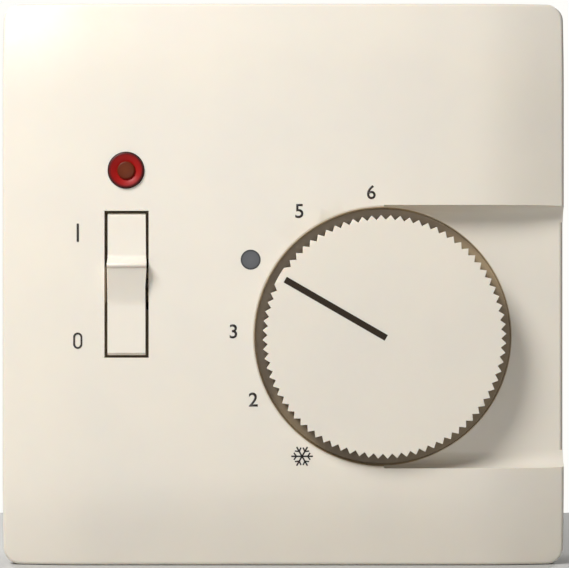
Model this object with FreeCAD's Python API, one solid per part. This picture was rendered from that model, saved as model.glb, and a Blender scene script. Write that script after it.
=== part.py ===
import FreeCAD, Part
import math
import os

# Flush-mounted room thermostat. Millimetres, +Z up, X to the right, the room on the -Y side.
# The origin is the middle of the support plate's back, which lies on the wall at Y = 0.
# A "depth" is a distance in front of that wall: depth 5 is Y = -5, depth -5 is inside the wall box.

# ---- central plate ---------------------------------------------------------------------------
PLATE_W = 70.0
PLATE_H = 70.0
PLATE_CORNER_R = 2.1
PLATE_WALL = 2.2
PLATE_EDGE_R = 0.5
FACE_DEPTH = 10.4          # flat middle of the face
RIM_DEPTH = 0.3            # the rim stops this far short of the wall
BORDER_W = 7.5             # width of the border that falls away all round
BORDER_SLOPE = 9.5         # degrees

# ---- setting dial and its pocket -------------------------------------------------------------
DIAL_X = 12.5
DIAL_Z = -6.5
DIAL_TIP_R = 15.05
DIAL_TOOTH_DEPTH = 0.62
DIAL_TEETH = 80
DIAL_FACE_DEPTH = 12.0
DIAL_TOP_WALL = 1.6
DIAL_SKIRT_WALL = 1.5
DIAL_FLOOR_GAP = 0.45
POINTER_ANGLE = 150.0      # at rest, anticlockwise from +X as seen from the room
POINTER_W = 0.8
POINTER_SUNK = 0.25
POINTER_PAST = 0.25        # how far the line runs on past the dial's centre
POINTER_END_R = DIAL_TIP_R - 0.9
DIAL_SIDE_GAP = 0.95       # between the teeth and the pocket's wall
POCKET_R = DIAL_TIP_R + DIAL_SIDE_GAP
POCKET_RIM_CHAMFER = 0.35
POCKET_FLOOR_DEPTH = 6.6
POCKET_FLOOR_T = 1.4
POCKET_WALL = 1.6
NOTCH_FLOOR_DEPTH = 7.7
NOTCH_COVE_R = 2.1
NOTCH_WALL = 1.4
DIAL_TO_COLD = 86.0        # degrees anticlockwise from rest to the frost mark
DIAL_TO_WARM = 56.0        # degrees clockwise from rest to the warmest mark
SPINDLE_R = 3.0
SPINDLE_FLAT = 2.2         # the flat's distance from the axis
HUB_R = 4.4
LIMIT_RING_T = 1.0
RING_INNER_R = HUB_R + 5.8 # inside of the inner limit ring
RING_MID_R = HUB_R + 7.0   # where the inner limit ring ends and the outer one starts
STOP_ANGLE = 330.0
STOP_W = 6.0               # degrees
TAB_W = 6.0                # degrees
STOP_PLAY = 1.0            # degrees

# ---- rocker switch ---------------------------------------------------------------------------
ROCKER_X = -19.45
ROCKER_W = 4.7
ROCKER_H = 17.6
ROCKER_GAP = 0.325         # gap to the plate at each end
ROCKER_SIDE_GAP = 0.4
ROCKER_PIVOT_DEPTH = 7.9
ROCKER_TILT = 8.0          # degrees from I to 0
ROCKER_CREST = 1.5         # the finger crest stands this far off the face
ROCKER_CREST_Z = 2.4
ROCKER_SLOPE_RUN = 5.2      # from the crest down to the lower flat
ROCKER_PIN_R = 0.75
LIP_T = 1.25               # the plate is this thin round the rocker
BRIDGE_TURN = 12.0         # degrees that the contact bridge tips over
BRIDGE_DEPTH = -1.0

# ---- indicator -------------------------------------------------------------------------------
LENS_X = -19.5
LENS_Z = 14.15
LENS_R = 2.05
LENS_PROUD = 0.35          # how far the lens stands off the face
LENS_HOLE_R = LENS_R + 0.25
LENS_CORE_R = 1.1
LENS_FLANGE_R = LENS_HOLE_R + 0.7
LAMP_R = 1.9
LAMP_TUBE_DEPTH = 6.2      # the lamp and its tube end here, behind the lens

# ---- insert ----------------------------------------------------------------------------------
SUPPORT_T = 1.0
SUPPORT_GAP = 0.4          # between the support plate and the central plate's rim
BOX_SCREW_SPACING = 60.0
BOX_SCREW_HOLE_R = 1.8
BOX_SLOT_TRAVEL = 4.0
CUP_R = 27.0
CUP_WALL = 1.6
CUP_DEPTH = 24.0
CUP_FLOOR_T = 1.8
CUP_FLAT_Z = -20.5         # flat side with the wire entries
TRAY_R = CUP_R - 0.6
TRAY_WALL = 1.4
TRAY_TOP_DEPTH = 5.0
HOUSING_SCREW_R = 1.25
HOUSING_SCREW_AT = CUP_R - 4.0
HOUSING_SCREW_HEAD_R = 2.2
HOUSING_SCREW_HEAD_T = 1.4
SCREW_BOSS_R = 2.6
HOUSING_SCREW_ANGLES = (45.0, 120.0, 215.0)
BOARD_Y = 6.0              # front face of the circuit board
BOARD_T = 1.6
BOARD_POSTS = ((3.7, 21.2), (21.2, 3.7), (-12.5, 8.0))
COVER_SCREW_AT = 8.8       # from the spindle, towards -X
COVER_SCREW_R = 1.25

# ---- thermal mechanism -----------------------------------------------------------------------
LEVER_RATIO = 0.03         # degrees of lever per degree of dial
LEVER_X = 0.0
LEVER_Z = -14.5
LEVER_T = 3.0
LEVER_Y = 1.2
CAM_REST_R = 6.0
FOLLOWER_R = 0.9
CAM_PLAY = 0.08
BIMETAL_X = -4.4
BIMETAL_T = 0.6
BIMETAL_W = 5.0
BIMETAL_FOOT_Z = -10.0
CONTACT_Z = 12.0
CONTACT_R = 1.0
CONTACT_T = 0.5
CONTACT_PLAY = 0.1
MAGNET_Z = 6.5

# ---- terminals -------------------------------------------------------------------------------
TERMINALS = 5
TERMINAL_PITCH = 6.2
TERMINAL_W = 5.2
TERMINAL_LEN = 7.0
TERMINAL_Y = 9.0
TERMINAL_HEAD_T = 1.8
TERMINAL_HEAD_SPACE = 1.4  # between the screw heads and the cup's floor
TERMINAL_STACK = TERMINAL_HEAD_T + TERMINAL_HEAD_SPACE
TERMINAL_H = CUP_DEPTH - CUP_FLOOR_T - TERMINAL_Y - TERMINAL_STACK
WIRE_R = 1.6
WIRE_Y = 13.0
TERMINAL_SCREW_R = 1.4
TERMINAL_HEAD_R = 2.3
TERMINAL_RIB_T = 0.8

# ---- shared clearances -----------------------------------------------------------------------
RUN = 0.05                 # radial clearance of a turning or sliding fit
CLEAR = 0.1

FRONT = FreeCAD.Vector(0, -1, 0)
RIGHT = FreeCAD.Vector(1, 0, 0)
UP = FreeCAD.Vector(0, 0, 1)

ROCKER_PIVOT = FreeCAD.Vector(ROCKER_X, -ROCKER_PIVOT_DEPTH, 0)
DIAL_CENTRE = FreeCAD.Vector(DIAL_X, 0, DIAL_Z)
DIAL_BACK_DEPTH = POCKET_FLOOR_DEPTH + DIAL_FLOOR_GAP
DIAL_INNER_R = DIAL_TIP_R - DIAL_TOOTH_DEPTH - DIAL_SKIRT_WALL
COVER_SCREW_X = DIAL_X - COVER_SCREW_AT
CUP_INNER_R = CUP_R - CUP_WALL
CUP_INNER_Z = CUP_FLAT_Z + CUP_WALL
TRAY_UNDER_DEPTH = TRAY_TOP_DEPTH - TRAY_WALL
BOARD_BACK_Y = BOARD_Y + BOARD_T
BOARD_Z = CUP_INNER_Z + 0.4
TERMINAL_Z = CUP_INNER_Z + 0.5
TERMINAL_XS = [(i - (TERMINALS - 1) / 2.0) * TERMINAL_PITCH for i in range(TERMINALS)]


# ---- building blocks -------------------------------------------------------------------------
def at(x, depth, z):
    """A point given by its depth in front of the wall."""
    return FreeCAD.Vector(x, -depth, z)


def block(x0, x1, back, front, z0, z1):
    """A box between two depths."""
    return Part.makeBox(x1 - x0, front - back, z1 - z0, at(x0, front, z0))


def disc(radius, back, front, x=0.0, z=0.0):
    """A round bar along Y between two depths."""
    return Part.makeCylinder(radius, front - back, at(x, back, z), FRONT)


def ring(outer, inner, back, front, x=0.0, z=0.0):
    """A tube along Y between two depths."""
    return disc(outer, back, front, x, z).cut(disc(inner, back, front, x, z))


def bar_x(radius, x0, x1, depth, z):
    """A round bar along X."""
    return Part.makeCylinder(radius, x1 - x0, at(x0, depth, z), RIGHT)


def bar_z(radius, z0, z1, x, depth):
    """A round bar along Z."""
    return Part.makeCylinder(radius, z1 - z0, at(x, depth, z0), UP)


def joined(shapes):
    """One solid from touching shapes."""
    whole = shapes[0].multiFuse(shapes[1:]) if len(shapes) > 1 else shapes[0]
    return whole.removeSplitter()


def along(shape, direction):
    """The straight edges of a shape that run along a direction."""
    found = []
    for edge in shape.Edges:
        if edge.Curve.TypeId == "Part::GeomLine":
            if abs(abs(edge.Curve.Direction.dot(direction)) - 1) < 1e-6:
                found.append(edge)
    return found


def rounded_block(width, height, radius, back, front):
    """A box centred on the origin whose four edges along Y are rounded."""
    box = block(-width / 2, width / 2, back, front, -height / 2, height / 2)
    return box.makeFillet(radius, along(box, FRONT))


def turned(point, degrees, centre):
    """A point turned anticlockwise, as seen from the room, about an axis along Y."""
    angle = math.radians(degrees)
    dx = point.x - centre.x
    dz = point.z - centre.z
    x = centre.x + dx * math.cos(angle) - dz * math.sin(angle)
    z = centre.z + dx * math.sin(angle) + dz * math.cos(angle)
    return FreeCAD.Vector(x, point.y, z)


def polar(radius, degrees, centre=FreeCAD.Vector(0, 0, 0)):
    """A point at a radius and an angle about an axis along Y."""
    return turned(centre + FreeCAD.Vector(radius, 0, 0), degrees, centre)


def sector(outer, inner, mid, width, back, front):
    """A piece of a ring about the dial's axis, width degrees wide."""
    start = polar(outer, mid - width / 2, DIAL_CENTRE)
    middle = polar(outer, mid, DIAL_CENTRE)
    end = polar(outer, mid + width / 2, DIAL_CENTRE)
    inner_end = polar(inner, mid + width / 2, DIAL_CENTRE)
    inner_middle = polar(inner, mid, DIAL_CENTRE)
    inner_start = polar(inner, mid - width / 2, DIAL_CENTRE)
    edges = [
        Part.Arc(start, middle, end).toShape(),
        Part.makeLine(end, inner_end),
        Part.Arc(inner_end, inner_middle, inner_start).toShape(),
        Part.makeLine(inner_start, start),
    ]
    face = Part.Face(Part.Wire(edges))
    face.translate(FRONT * back)
    return face.extrude(FRONT * (front - back))


def housing_screw_places():
    """The three screws that hold tray, support plate and cup together."""
    return [polar(HOUSING_SCREW_AT, angle) for angle in HOUSING_SCREW_ANGLES]


# ---- central plate ---------------------------------------------------------------------------
def under_face(depth):
    """All that lies behind the plate's cushion-shaped face, whose flat middle is at a depth."""
    span = max(PLATE_W, PLATE_H) / 2
    bend = span - BORDER_W
    places = [span + 6, span + 2, span - 2, bend + 2, bend - 1.5, bend - 5, bend / 2]
    places = [-p for p in places] + [0.0] + places[::-1]
    fall = math.tan(math.radians(BORDER_SLOPE))

    def drop(place, half):
        return max(0.0, abs(place) * half / span - (half - BORDER_W)) * fall

    poles = []
    for u in places:
        x = u * PLATE_W / 2 / span
        row = []
        for v in places:
            z = v * PLATE_H / 2 / span
            row.append(at(x, depth - drop(u, PLATE_W / 2) - drop(v, PLATE_H / 2), z))
        poles.append(row)
    count = len(places)
    knots = list(range(count - 2))
    mults = [4] + [1] * (count - 4) + [4]
    surface = Part.BSplineSurface()
    surface.buildFromPolesMultsKnots(poles, mults, mults, knots, knots, False, False, 3, 3)
    return surface.toShape().extrude(FRONT * -(depth + 5))


def notch_space():
    """The finger notch from the dial's pocket to the right edge, with a cove above and below."""
    half = POCKET_R + POCKET_RIM_CHAMFER
    top = DIAL_Z + half
    bottom = DIAL_Z - half
    floor = NOTCH_FLOOR_DEPTH
    wall = floor + NOTCH_COVE_R
    bow = NOTCH_COVE_R * (1 - math.sqrt(0.5))
    above = DIAL_FACE_DEPTH + 1
    edges = [
        Part.makeLine(at(DIAL_X, floor, bottom + NOTCH_COVE_R), at(DIAL_X, floor, top - NOTCH_COVE_R)),
        Part.Arc(
            at(DIAL_X, floor, top - NOTCH_COVE_R),
            at(DIAL_X, floor + bow, top - bow),
            at(DIAL_X, wall, top),
        ).toShape(),
        Part.makeLine(at(DIAL_X, wall, top), at(DIAL_X, above, top)),
        Part.makeLine(at(DIAL_X, above, top), at(DIAL_X, above, bottom)),
        Part.makeLine(at(DIAL_X, above, bottom), at(DIAL_X, wall, bottom)),
        Part.Arc(
            at(DIAL_X, wall, bottom),
            at(DIAL_X, floor + bow, bottom + bow),
            at(DIAL_X, floor, bottom + NOTCH_COVE_R),
        ).toShape(),
    ]
    length = PLATE_W / 2 - DIAL_X + 1
    return Part.Face(Part.Wire(edges)).extrude(RIGHT * length)


def notch_lip_round():
    """Rounds the edge where the notch's floor runs out at the plate's side."""
    side = PLATE_W / 2
    half = POCKET_R + POCKET_RIM_CHAMFER - NOTCH_COVE_R
    r = PLATE_EDGE_R
    low = DIAL_Z - half
    high = DIAL_Z + half
    corner = block(side - r, side + 1, NOTCH_FLOOR_DEPTH - r, NOTCH_FLOOR_DEPTH + 1, low, high)
    return corner.cut(bar_z(r, low, high, side - r, NOTCH_FLOOR_DEPTH - r))


def plate_shell():
    """The hollow central plate with the thick places behind the pocket and the notch."""
    body = rounded_block(PLATE_W, PLATE_H, PLATE_CORNER_R, RIM_DEPTH, FACE_DEPTH + 2)
    body = body.common(under_face(FACE_DEPTH))
    front_edges = [e for e in body.Edges if e.BoundBox.YMax < -RIM_DEPTH - 1]
    outer = body.makeFillet(PLATE_EDGE_R, front_edges)
    inner_r = max(PLATE_CORNER_R - PLATE_WALL, 0.8)
    inner_w = PLATE_W - 2 * PLATE_WALL
    inner_h = PLATE_H - 2 * PLATE_WALL
    cavity = rounded_block(inner_w, inner_h, inner_r, RIM_DEPTH - 1, FACE_DEPTH)
    cavity = cavity.common(under_face(FACE_DEPTH - PLATE_WALL))
    pocket_back = POCKET_FLOOR_DEPTH - POCKET_FLOOR_T
    pocket_front = FACE_DEPTH - PLATE_WALL + 0.3
    pocket = disc(POCKET_R + POCKET_WALL, pocket_back, pocket_front, DIAL_X, DIAL_Z)
    half = POCKET_R + POCKET_WALL
    notch_back = NOTCH_FLOOR_DEPTH - NOTCH_WALL
    notch = block(DIAL_X, PLATE_W / 2, notch_back, FACE_DEPTH, DIAL_Z - half, DIAL_Z + half)
    return joined([outer.cut(cavity), pocket, notch.common(outer)])


def cover_screw_space():
    """Countersunk hole for the screw that holds the central plate."""
    back = POCKET_FLOOR_DEPTH - POCKET_FLOOR_T
    hole = disc(COVER_SCREW_R + CLEAR, back, POCKET_FLOOR_DEPTH, COVER_SCREW_X, DIAL_Z)
    cone = Part.makeCone(
        COVER_SCREW_R + CLEAR,
        COVER_SCREW_R + CLEAR + POCKET_FLOOR_T,
        POCKET_FLOOR_T,
        at(COVER_SCREW_X, back, DIAL_Z),
        FRONT,
    )
    return hole.fuse(cone)


def cover_plate():
    plate = plate_shell()
    above = FACE_DEPTH + 1
    rim = Part.makeCone(
        POCKET_R,
        POCKET_R + POCKET_RIM_CHAMFER + 1,
        POCKET_RIM_CHAMFER + 1,
        at(DIAL_X, FACE_DEPTH - POCKET_RIM_CHAMFER, DIAL_Z),
        FRONT,
    )
    cut_w = ROCKER_W / 2 + ROCKER_SIDE_GAP
    cut_h = ROCKER_H / 2 + ROCKER_GAP
    relief_w = cut_w + 1.9
    lip = FACE_DEPTH - LIP_T
    spaces = [
        disc(POCKET_R, POCKET_FLOOR_DEPTH, above, DIAL_X, DIAL_Z),
        rim,
        notch_space(),
        notch_lip_round(),
        disc(HUB_R + 1.0, 0, above, DIAL_X, DIAL_Z),
        cover_screw_space(),
        disc(LENS_HOLE_R, 0, above, LENS_X, LENS_Z),
        block(ROCKER_X - cut_w, ROCKER_X + cut_w, 0, above, -cut_h, cut_h),
        block(ROCKER_X - relief_w, ROCKER_X + relief_w, 0, lip, -cut_h - 0.8, cut_h + 0.8),
    ]
    for space in spaces:
        plate = plate.cut(space)
    stop_back = POCKET_FLOOR_DEPTH - 0.2
    stop_front = POCKET_FLOOR_DEPTH + 1.6
    stop = sector(DIAL_INNER_R - 0.3, RING_INNER_R + 0.1, STOP_ANGLE, STOP_W, stop_back, stop_front)
    return joined([plate, stop])


def cover_screw():
    head = Part.makeCone(
        COVER_SCREW_R,
        COVER_SCREW_R + POCKET_FLOOR_T - CLEAR,
        POCKET_FLOOR_T - CLEAR,
        at(COVER_SCREW_X, POCKET_FLOOR_DEPTH - POCKET_FLOOR_T, DIAL_Z),
        FRONT,
    )
    shank = disc(COVER_SCREW_R, 1.2, POCKET_FLOOR_DEPTH - POCKET_FLOOR_T, COVER_SCREW_X, DIAL_Z)
    screw = joined([head, shank])
    reach = COVER_SCREW_R + POCKET_FLOOR_T
    top = POCKET_FLOOR_DEPTH
    slot = block(COVER_SCREW_X - reach, COVER_SCREW_X + reach, top - 0.7, top, DIAL_Z - 0.3, DIAL_Z + 0.3)
    return screw.cut(slot)


def indicator_lens():
    """Red lens: a flanged plug with a blind core that opens towards the lamp."""
    back = FACE_DEPTH - PLATE_WALL
    body = disc(LENS_R, back, FACE_DEPTH + LENS_PROUD, LENS_X, LENS_Z)
    rim = [e for e in body.Edges if e.BoundBox.YMax < -FACE_DEPTH]
    body = body.makeFillet(0.3, rim)
    flange = disc(LENS_FLANGE_R, back - 0.9, back, LENS_X, LENS_Z)
    stem = disc(LENS_CORE_R + 0.5, back - 1.7, back, LENS_X, LENS_Z)
    core = disc(LENS_CORE_R, back - 1.7, FACE_DEPTH - 0.6, LENS_X, LENS_Z)
    return joined([body, flange, stem]).cut(core)


# ---- dial ------------------------------------------------------------------------------------
def dial_outline():
    """The serrated edge, with the teeth filled in to a smooth lobe at the pointer."""
    pitch = 360.0 / DIAL_TEETH
    points = []
    for i in range(DIAL_TEETH):
        tip = POINTER_ANGLE + i * pitch
        points.append(polar(DIAL_TIP_R, tip, DIAL_CENTRE))
        root = DIAL_TIP_R - DIAL_TOOTH_DEPTH
        if i in (0, DIAL_TEETH - 1):
            root = DIAL_TIP_R
        points.append(polar(root, tip + pitch / 2, DIAL_CENTRE))
    return Part.Face(Part.makePolygon(points + [points[0]]))


def pointer_space(back):
    """The straight slot for the pointer line, from past the dial's centre to just inside its edge."""
    half = POINTER_W / 2
    near = DIAL_X - POINTER_PAST
    far = DIAL_X + POINTER_END_R
    bar = block(near, far, back, DIAL_FACE_DEPTH, DIAL_Z - half, DIAL_Z + half)
    bar.rotate(DIAL_CENTRE, FRONT, POINTER_ANGLE)
    return bar


def spindle_section(radius, flat, back, front):
    """A round bar with one flat, on the dial's axis."""
    bar = disc(radius, back, front, DIAL_X, DIAL_Z)
    cut = block(DIAL_X - radius, DIAL_X + radius, back, front, DIAL_Z + flat, DIAL_Z + radius)
    return bar.cut(cut)


def dial_knob():
    face = dial_outline()
    face.translate(FRONT * DIAL_BACK_DEPTH)
    blank = face.extrude(FRONT * (DIAL_FACE_DEPTH - DIAL_BACK_DEPTH))
    under = DIAL_FACE_DEPTH - DIAL_TOP_WALL
    shell = blank.cut(disc(DIAL_INNER_R, DIAL_BACK_DEPTH, under, DIAL_X, DIAL_Z))
    hub = disc(HUB_R, POCKET_FLOOR_DEPTH - 0.6, under, DIAL_X, DIAL_Z)
    seat_r = RING_INNER_R - CLEAR
    seat = ring(seat_r, seat_r - 0.8, under - LIMIT_RING_T, under, DIAL_X, DIAL_Z)
    knob = joined([shell, hub, seat])
    bore = spindle_section(
        SPINDLE_R + RUN, SPINDLE_FLAT + RUN, POCKET_FLOOR_DEPTH - 0.6, DIAL_FACE_DEPTH - 0.8
    )
    knob = knob.cut(bore)
    return knob.cut(pointer_space(DIAL_FACE_DEPTH - POINTER_SUNK))


def pointer_inlay():
    """The coloured pointer line, filling its slot flush with the dial's face."""
    return pointer_space(DIAL_FACE_DEPTH - POINTER_SUNK)


def limit_ring(outer, inner, tab_angle):
    """A setting ring inside the dial, with the tab that meets the stop on the pocket's floor."""
    front = DIAL_FACE_DEPTH - DIAL_TOP_WALL
    band = ring(outer, inner, front - LIMIT_RING_T, front, DIAL_X, DIAL_Z)
    tab = sector(outer, inner, tab_angle, TAB_W, POCKET_FLOOR_DEPTH + 0.7, front)
    return joined([band, tab])


def limit_ring_max():
    """Outer ring: stops the dial at its warm end."""
    angle = STOP_ANGLE + DIAL_TO_WARM + (STOP_W + TAB_W) / 2 + STOP_PLAY
    return limit_ring(DIAL_INNER_R - CLEAR, RING_MID_R + CLEAR, angle)


def limit_ring_min():
    """Inner ring: stops the dial at its cold end."""
    angle = STOP_ANGLE - DIAL_TO_COLD - (STOP_W + TAB_W) / 2 - STOP_PLAY
    return limit_ring(RING_MID_R, RING_INNER_R, angle)


# ---- spindle and cam -------------------------------------------------------------------------
BEARING_BACK_DEPTH = 0.4
COLLAR_T = 0.6


def setpoint_spindle():
    lower = disc(SPINDLE_R, -LEVER_Y - LEVER_T, TRAY_TOP_DEPTH + COLLAR_T + CLEAR, DIAL_X, DIAL_Z)
    upper = spindle_section(
        SPINDLE_R, SPINDLE_FLAT, TRAY_TOP_DEPTH + COLLAR_T + CLEAR, DIAL_FACE_DEPTH - 1.0
    )
    bar = joined([lower, upper])
    groove_back = TRAY_TOP_DEPTH + RUN
    return bar.cut(ring(SPINDLE_R, SPINDLE_R - 0.5, groove_back, groove_back + COLLAR_T, DIAL_X, DIAL_Z))


def spindle_retaining_ring():
    """Open spring ring in the spindle's groove, just above the tray's bearing."""
    back = TRAY_TOP_DEPTH + RUN
    band = ring(SPINDLE_R + 1.3, SPINDLE_R - 0.5, back, back + COLLAR_T, DIAL_X, DIAL_Z)
    mouth = block(DIAL_X - 1.1, DIAL_X + 1.1, back, back + COLLAR_T, DIAL_Z - SPINDLE_R - 1.3, DIAL_Z)
    return band.cut(mouth)


def friction_washer():
    """Dished spring washer between the bearing and the cam: it keeps the dial where it is set."""
    front = BEARING_BACK_DEPTH - CLEAR
    back = -LEVER_Y + CLEAR
    outside = Part.makeCone(SPINDLE_R + 1.9, SPINDLE_R + 0.7, front - back, at(DIAL_X, back, DIAL_Z), FRONT)
    inside = Part.makeCone(SPINDLE_R + 1.5, SPINDLE_R + 0.3, front - back, at(DIAL_X, back, DIAL_Z), FRONT)
    return outside.cut(inside)


def follower_in_cam(turn):
    """Where the follower's centre lies on the cam when the dial has turned by an angle."""
    pivot = FreeCAD.Vector(LEVER_X, 0, LEVER_Z)
    rest = FreeCAD.Vector(DIAL_X - CAM_REST_R - CAM_PLAY - FOLLOWER_R, 0, DIAL_Z)
    moved = turned(rest, LEVER_RATIO * turn, pivot)
    return turned(moved, -turn, DIAL_CENTRE)


def setpoint_cam():
    """Spiral cam: its edge runs CAM_PLAY inside the follower over the dial's whole travel."""
    margin = 6.0
    steps = 15
    first = -DIAL_TO_WARM - margin
    last = DIAL_TO_COLD + margin
    points = []
    for i in range(steps + 1):
        turn = first + (last - first) * i / steps
        centre = follower_in_cam(turn)
        ahead = follower_in_cam(turn + 0.5)
        behind = follower_in_cam(turn - 0.5)
        tangent = (ahead - behind).normalize()
        inward = FreeCAD.Vector(-tangent.z, 0, tangent.x)
        if inward.dot(DIAL_CENTRE - centre) < 0:
            inward = inward * -1
        points.append(centre + inward * (FOLLOWER_R + CAM_PLAY))
    working = Part.BSplineCurve()
    working.interpolate(points)
    low = polar(CAM_REST_R - 1.2, 180 + (first + last) / -2 + 180, DIAL_CENTRE)
    back = Part.Arc(points[-1], low, points[0]).toShape()
    face = Part.Face(Part.Wire([working.toShape(), back]))
    face.translate(FRONT * (-LEVER_Y - LEVER_T))
    cam = face.extrude(FRONT * LEVER_T)
    return cam.cut(disc(SPINDLE_R, -LEVER_Y - LEVER_T, -LEVER_Y, DIAL_X, DIAL_Z))


# ---- lever, bimetal and contacts -------------------------------------------------------------
LEVER_HUB_R = 2.2
LEVER_PIN_R = 1.0
LEVER_BACK = -LEVER_Y - LEVER_T
LEVER_FRONT = -LEVER_Y
LEVER_MID = (LEVER_BACK + LEVER_FRONT) / 2
BIMETAL_BACK = -4.6
BIMETAL_FRONT = BIMETAL_BACK + BIMETAL_W
BIMETAL_RIGHT = BIMETAL_X + BIMETAL_T / 2
BIMETAL_LEFT = BIMETAL_X - BIMETAL_T / 2
ARMATURE_T = 0.5
CLAMP_T = 0.8
SPRING_Z = -11.9
SPRING_R = 1.3
SPRING_LEN = 5.0


def reach_to_warm(z):
    """How far a point of the bimetal at a height moves right when the dial goes fully warm."""
    return (z - LEVER_Z) * math.sin(math.radians(LEVER_RATIO * DIAL_TO_WARM))


def setpoint_lever():
    """The bell of the mechanism: hub, upright that holds the calibration screw, and the bimetal's foot."""
    hub = disc(LEVER_HUB_R, LEVER_BACK, LEVER_FRONT, LEVER_X, LEVER_Z)
    upright = block(LEVER_X - 1.4, LEVER_X + 1.4, LEVER_BACK, LEVER_FRONT, LEVER_Z, DIAL_Z + 1.8)
    foot_top = BIMETAL_FOOT_Z + 1.5
    foot = block(BIMETAL_RIGHT, LEVER_X, LEVER_BACK, LEVER_FRONT, LEVER_Z + 0.8, foot_top)
    lever = joined([hub, upright, foot])
    lever = lever.cut(disc(LEVER_PIN_R + RUN, LEVER_BACK, LEVER_FRONT, LEVER_X, LEVER_Z))
    return lever.cut(bar_x(FOLLOWER_R, LEVER_X - 1.4, LEVER_X + 1.4, LEVER_MID, DIAL_Z))


def calibration_screw():
    """Screw through the lever whose round tip follows the cam."""
    tip_x = DIAL_X - CAM_REST_R - CAM_PLAY - FOLLOWER_R
    shank = bar_x(FOLLOWER_R, LEVER_X - 2.0, tip_x, LEVER_MID, DIAL_Z)
    tip = Part.makeSphere(FOLLOWER_R, at(tip_x, LEVER_MID, DIAL_Z))
    head = bar_x(1.6, LEVER_X - 3.1, LEVER_X - 2.0, LEVER_MID, DIAL_Z)
    screw = joined([shank, tip, head])
    slot = block(LEVER_X - 3.1, LEVER_X - 2.6, LEVER_MID - 2, LEVER_MID + 2, DIAL_Z - 0.25, DIAL_Z + 0.25)
    return screw.cut(slot)


def mechanism_bracket():
    """Steel plate on the board that carries the lever's pin and the return spring's post."""
    front = -BOARD_Y + 0.8
    post_x = BIMETAL_LEFT - CLAMP_T - SPRING_LEN
    plate = block(post_x - 1.0, LEVER_X + 3.5, -BOARD_Y, front, LEVER_Z - 3.0, LEVER_Z + 7.5)
    plate = plate.cut(disc(LEVER_PIN_R, -BOARD_Y, front, LEVER_X, LEVER_Z))
    post = block(post_x - 1.0, post_x, front, LEVER_FRONT, SPRING_Z - 1.6, SPRING_Z + 1.6)
    return joined([plate, post])


def lever_pivot_pin():
    return disc(LEVER_PIN_R, -BOARD_Y, LEVER_FRONT + 0.9, LEVER_X, LEVER_Z)


def lever_pivot_clip():
    """Push-on clip that keeps the lever on its pin."""
    return ring(LEVER_PIN_R + 1.1, LEVER_PIN_R, LEVER_FRONT + CLEAR, LEVER_FRONT + 0.5, LEVER_X, LEVER_Z)


def lever_return_spring():
    """Envelope of the coil spring that presses the lever towards the cam."""
    right = BIMETAL_LEFT - CLAMP_T - CLEAR
    left = right + CLEAR - SPRING_LEN
    tube = bar_x(SPRING_R, left, right, LEVER_MID, SPRING_Z)
    return tube.cut(bar_x(SPRING_R - 0.35, left, right, LEVER_MID, SPRING_Z))


def bimetal_strip():
    return block(BIMETAL_LEFT, BIMETAL_RIGHT, BIMETAL_BACK, BIMETAL_FRONT, BIMETAL_FOOT_Z, CONTACT_Z + 1.6)


def bimetal_clamp():
    """Small plate that clamps the bimetal's foot to the lever."""
    left = BIMETAL_LEFT - CLAMP_T
    top = BIMETAL_FOOT_Z - 0.15
    return block(left, BIMETAL_RIGHT, LEVER_BACK, LEVER_FRONT, LEVER_Z + 0.8, top)


def moving_contact():
    return bar_x(CONTACT_R, BIMETAL_RIGHT, BIMETAL_RIGHT + CONTACT_T, LEVER_MID, CONTACT_Z)


def armature():
    """Steel plate on the bimetal that the magnet snaps over."""
    right = BIMETAL_RIGHT + ARMATURE_T
    return block(BIMETAL_RIGHT, right, LEVER_MID - 1.8, LEVER_MID + 1.8, MAGNET_Z - 1.6, MAGNET_Z + 1.6)


def magnet_left():
    return BIMETAL_RIGHT + ARMATURE_T + reach_to_warm(MAGNET_Z + 1.6) + CONTACT_PLAY + 0.15


def magnet():
    left = magnet_left()
    return block(left, left + 3.0, -BOARD_Y + 0.8, LEVER_MID + 1.8, MAGNET_Z - 1.6, MAGNET_Z + 1.6)


def magnet_yoke():
    """Steel saddle that carries the magnet on the board."""
    left = magnet_left()
    base = block(left, left + 4.0, -BOARD_Y, -BOARD_Y + 0.8, MAGNET_Z - 2.2, MAGNET_Z + 2.2)
    back = block(left + 3.0, left + 4.0, -BOARD_Y, LEVER_MID + 1.8, MAGNET_Z - 2.2, MAGNET_Z + 2.2)
    return joined([base, back])


def fixed_contact_left():
    return BIMETAL_RIGHT + CONTACT_T + reach_to_warm(CONTACT_Z + CONTACT_R) + CONTACT_PLAY


def fixed_contact():
    left = fixed_contact_left()
    return bar_x(CONTACT_R, left, left + CONTACT_T, LEVER_MID, CONTACT_Z)


def fixed_contact_blade():
    """Brass angle from the board up to the fixed contact."""
    left = fixed_contact_left() + CONTACT_T
    upright = block(left, left + 0.8, -BOARD_Y, LEVER_MID + 1.6, CONTACT_Z - 1.6, CONTACT_Z + 1.6)
    foot = block(left, left + 4.5, -BOARD_Y, -BOARD_Y + 0.8, CONTACT_Z - 1.6, CONTACT_Z + 1.6)
    return joined([upright, foot])


# ---- rocker switch ---------------------------------------------------------------------------
def tipped(shape, degrees, pivot):
    """A copy turned about an axis along X."""
    moved = shape.copy()
    moved.rotate(pivot, RIGHT, degrees)
    return moved


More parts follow.
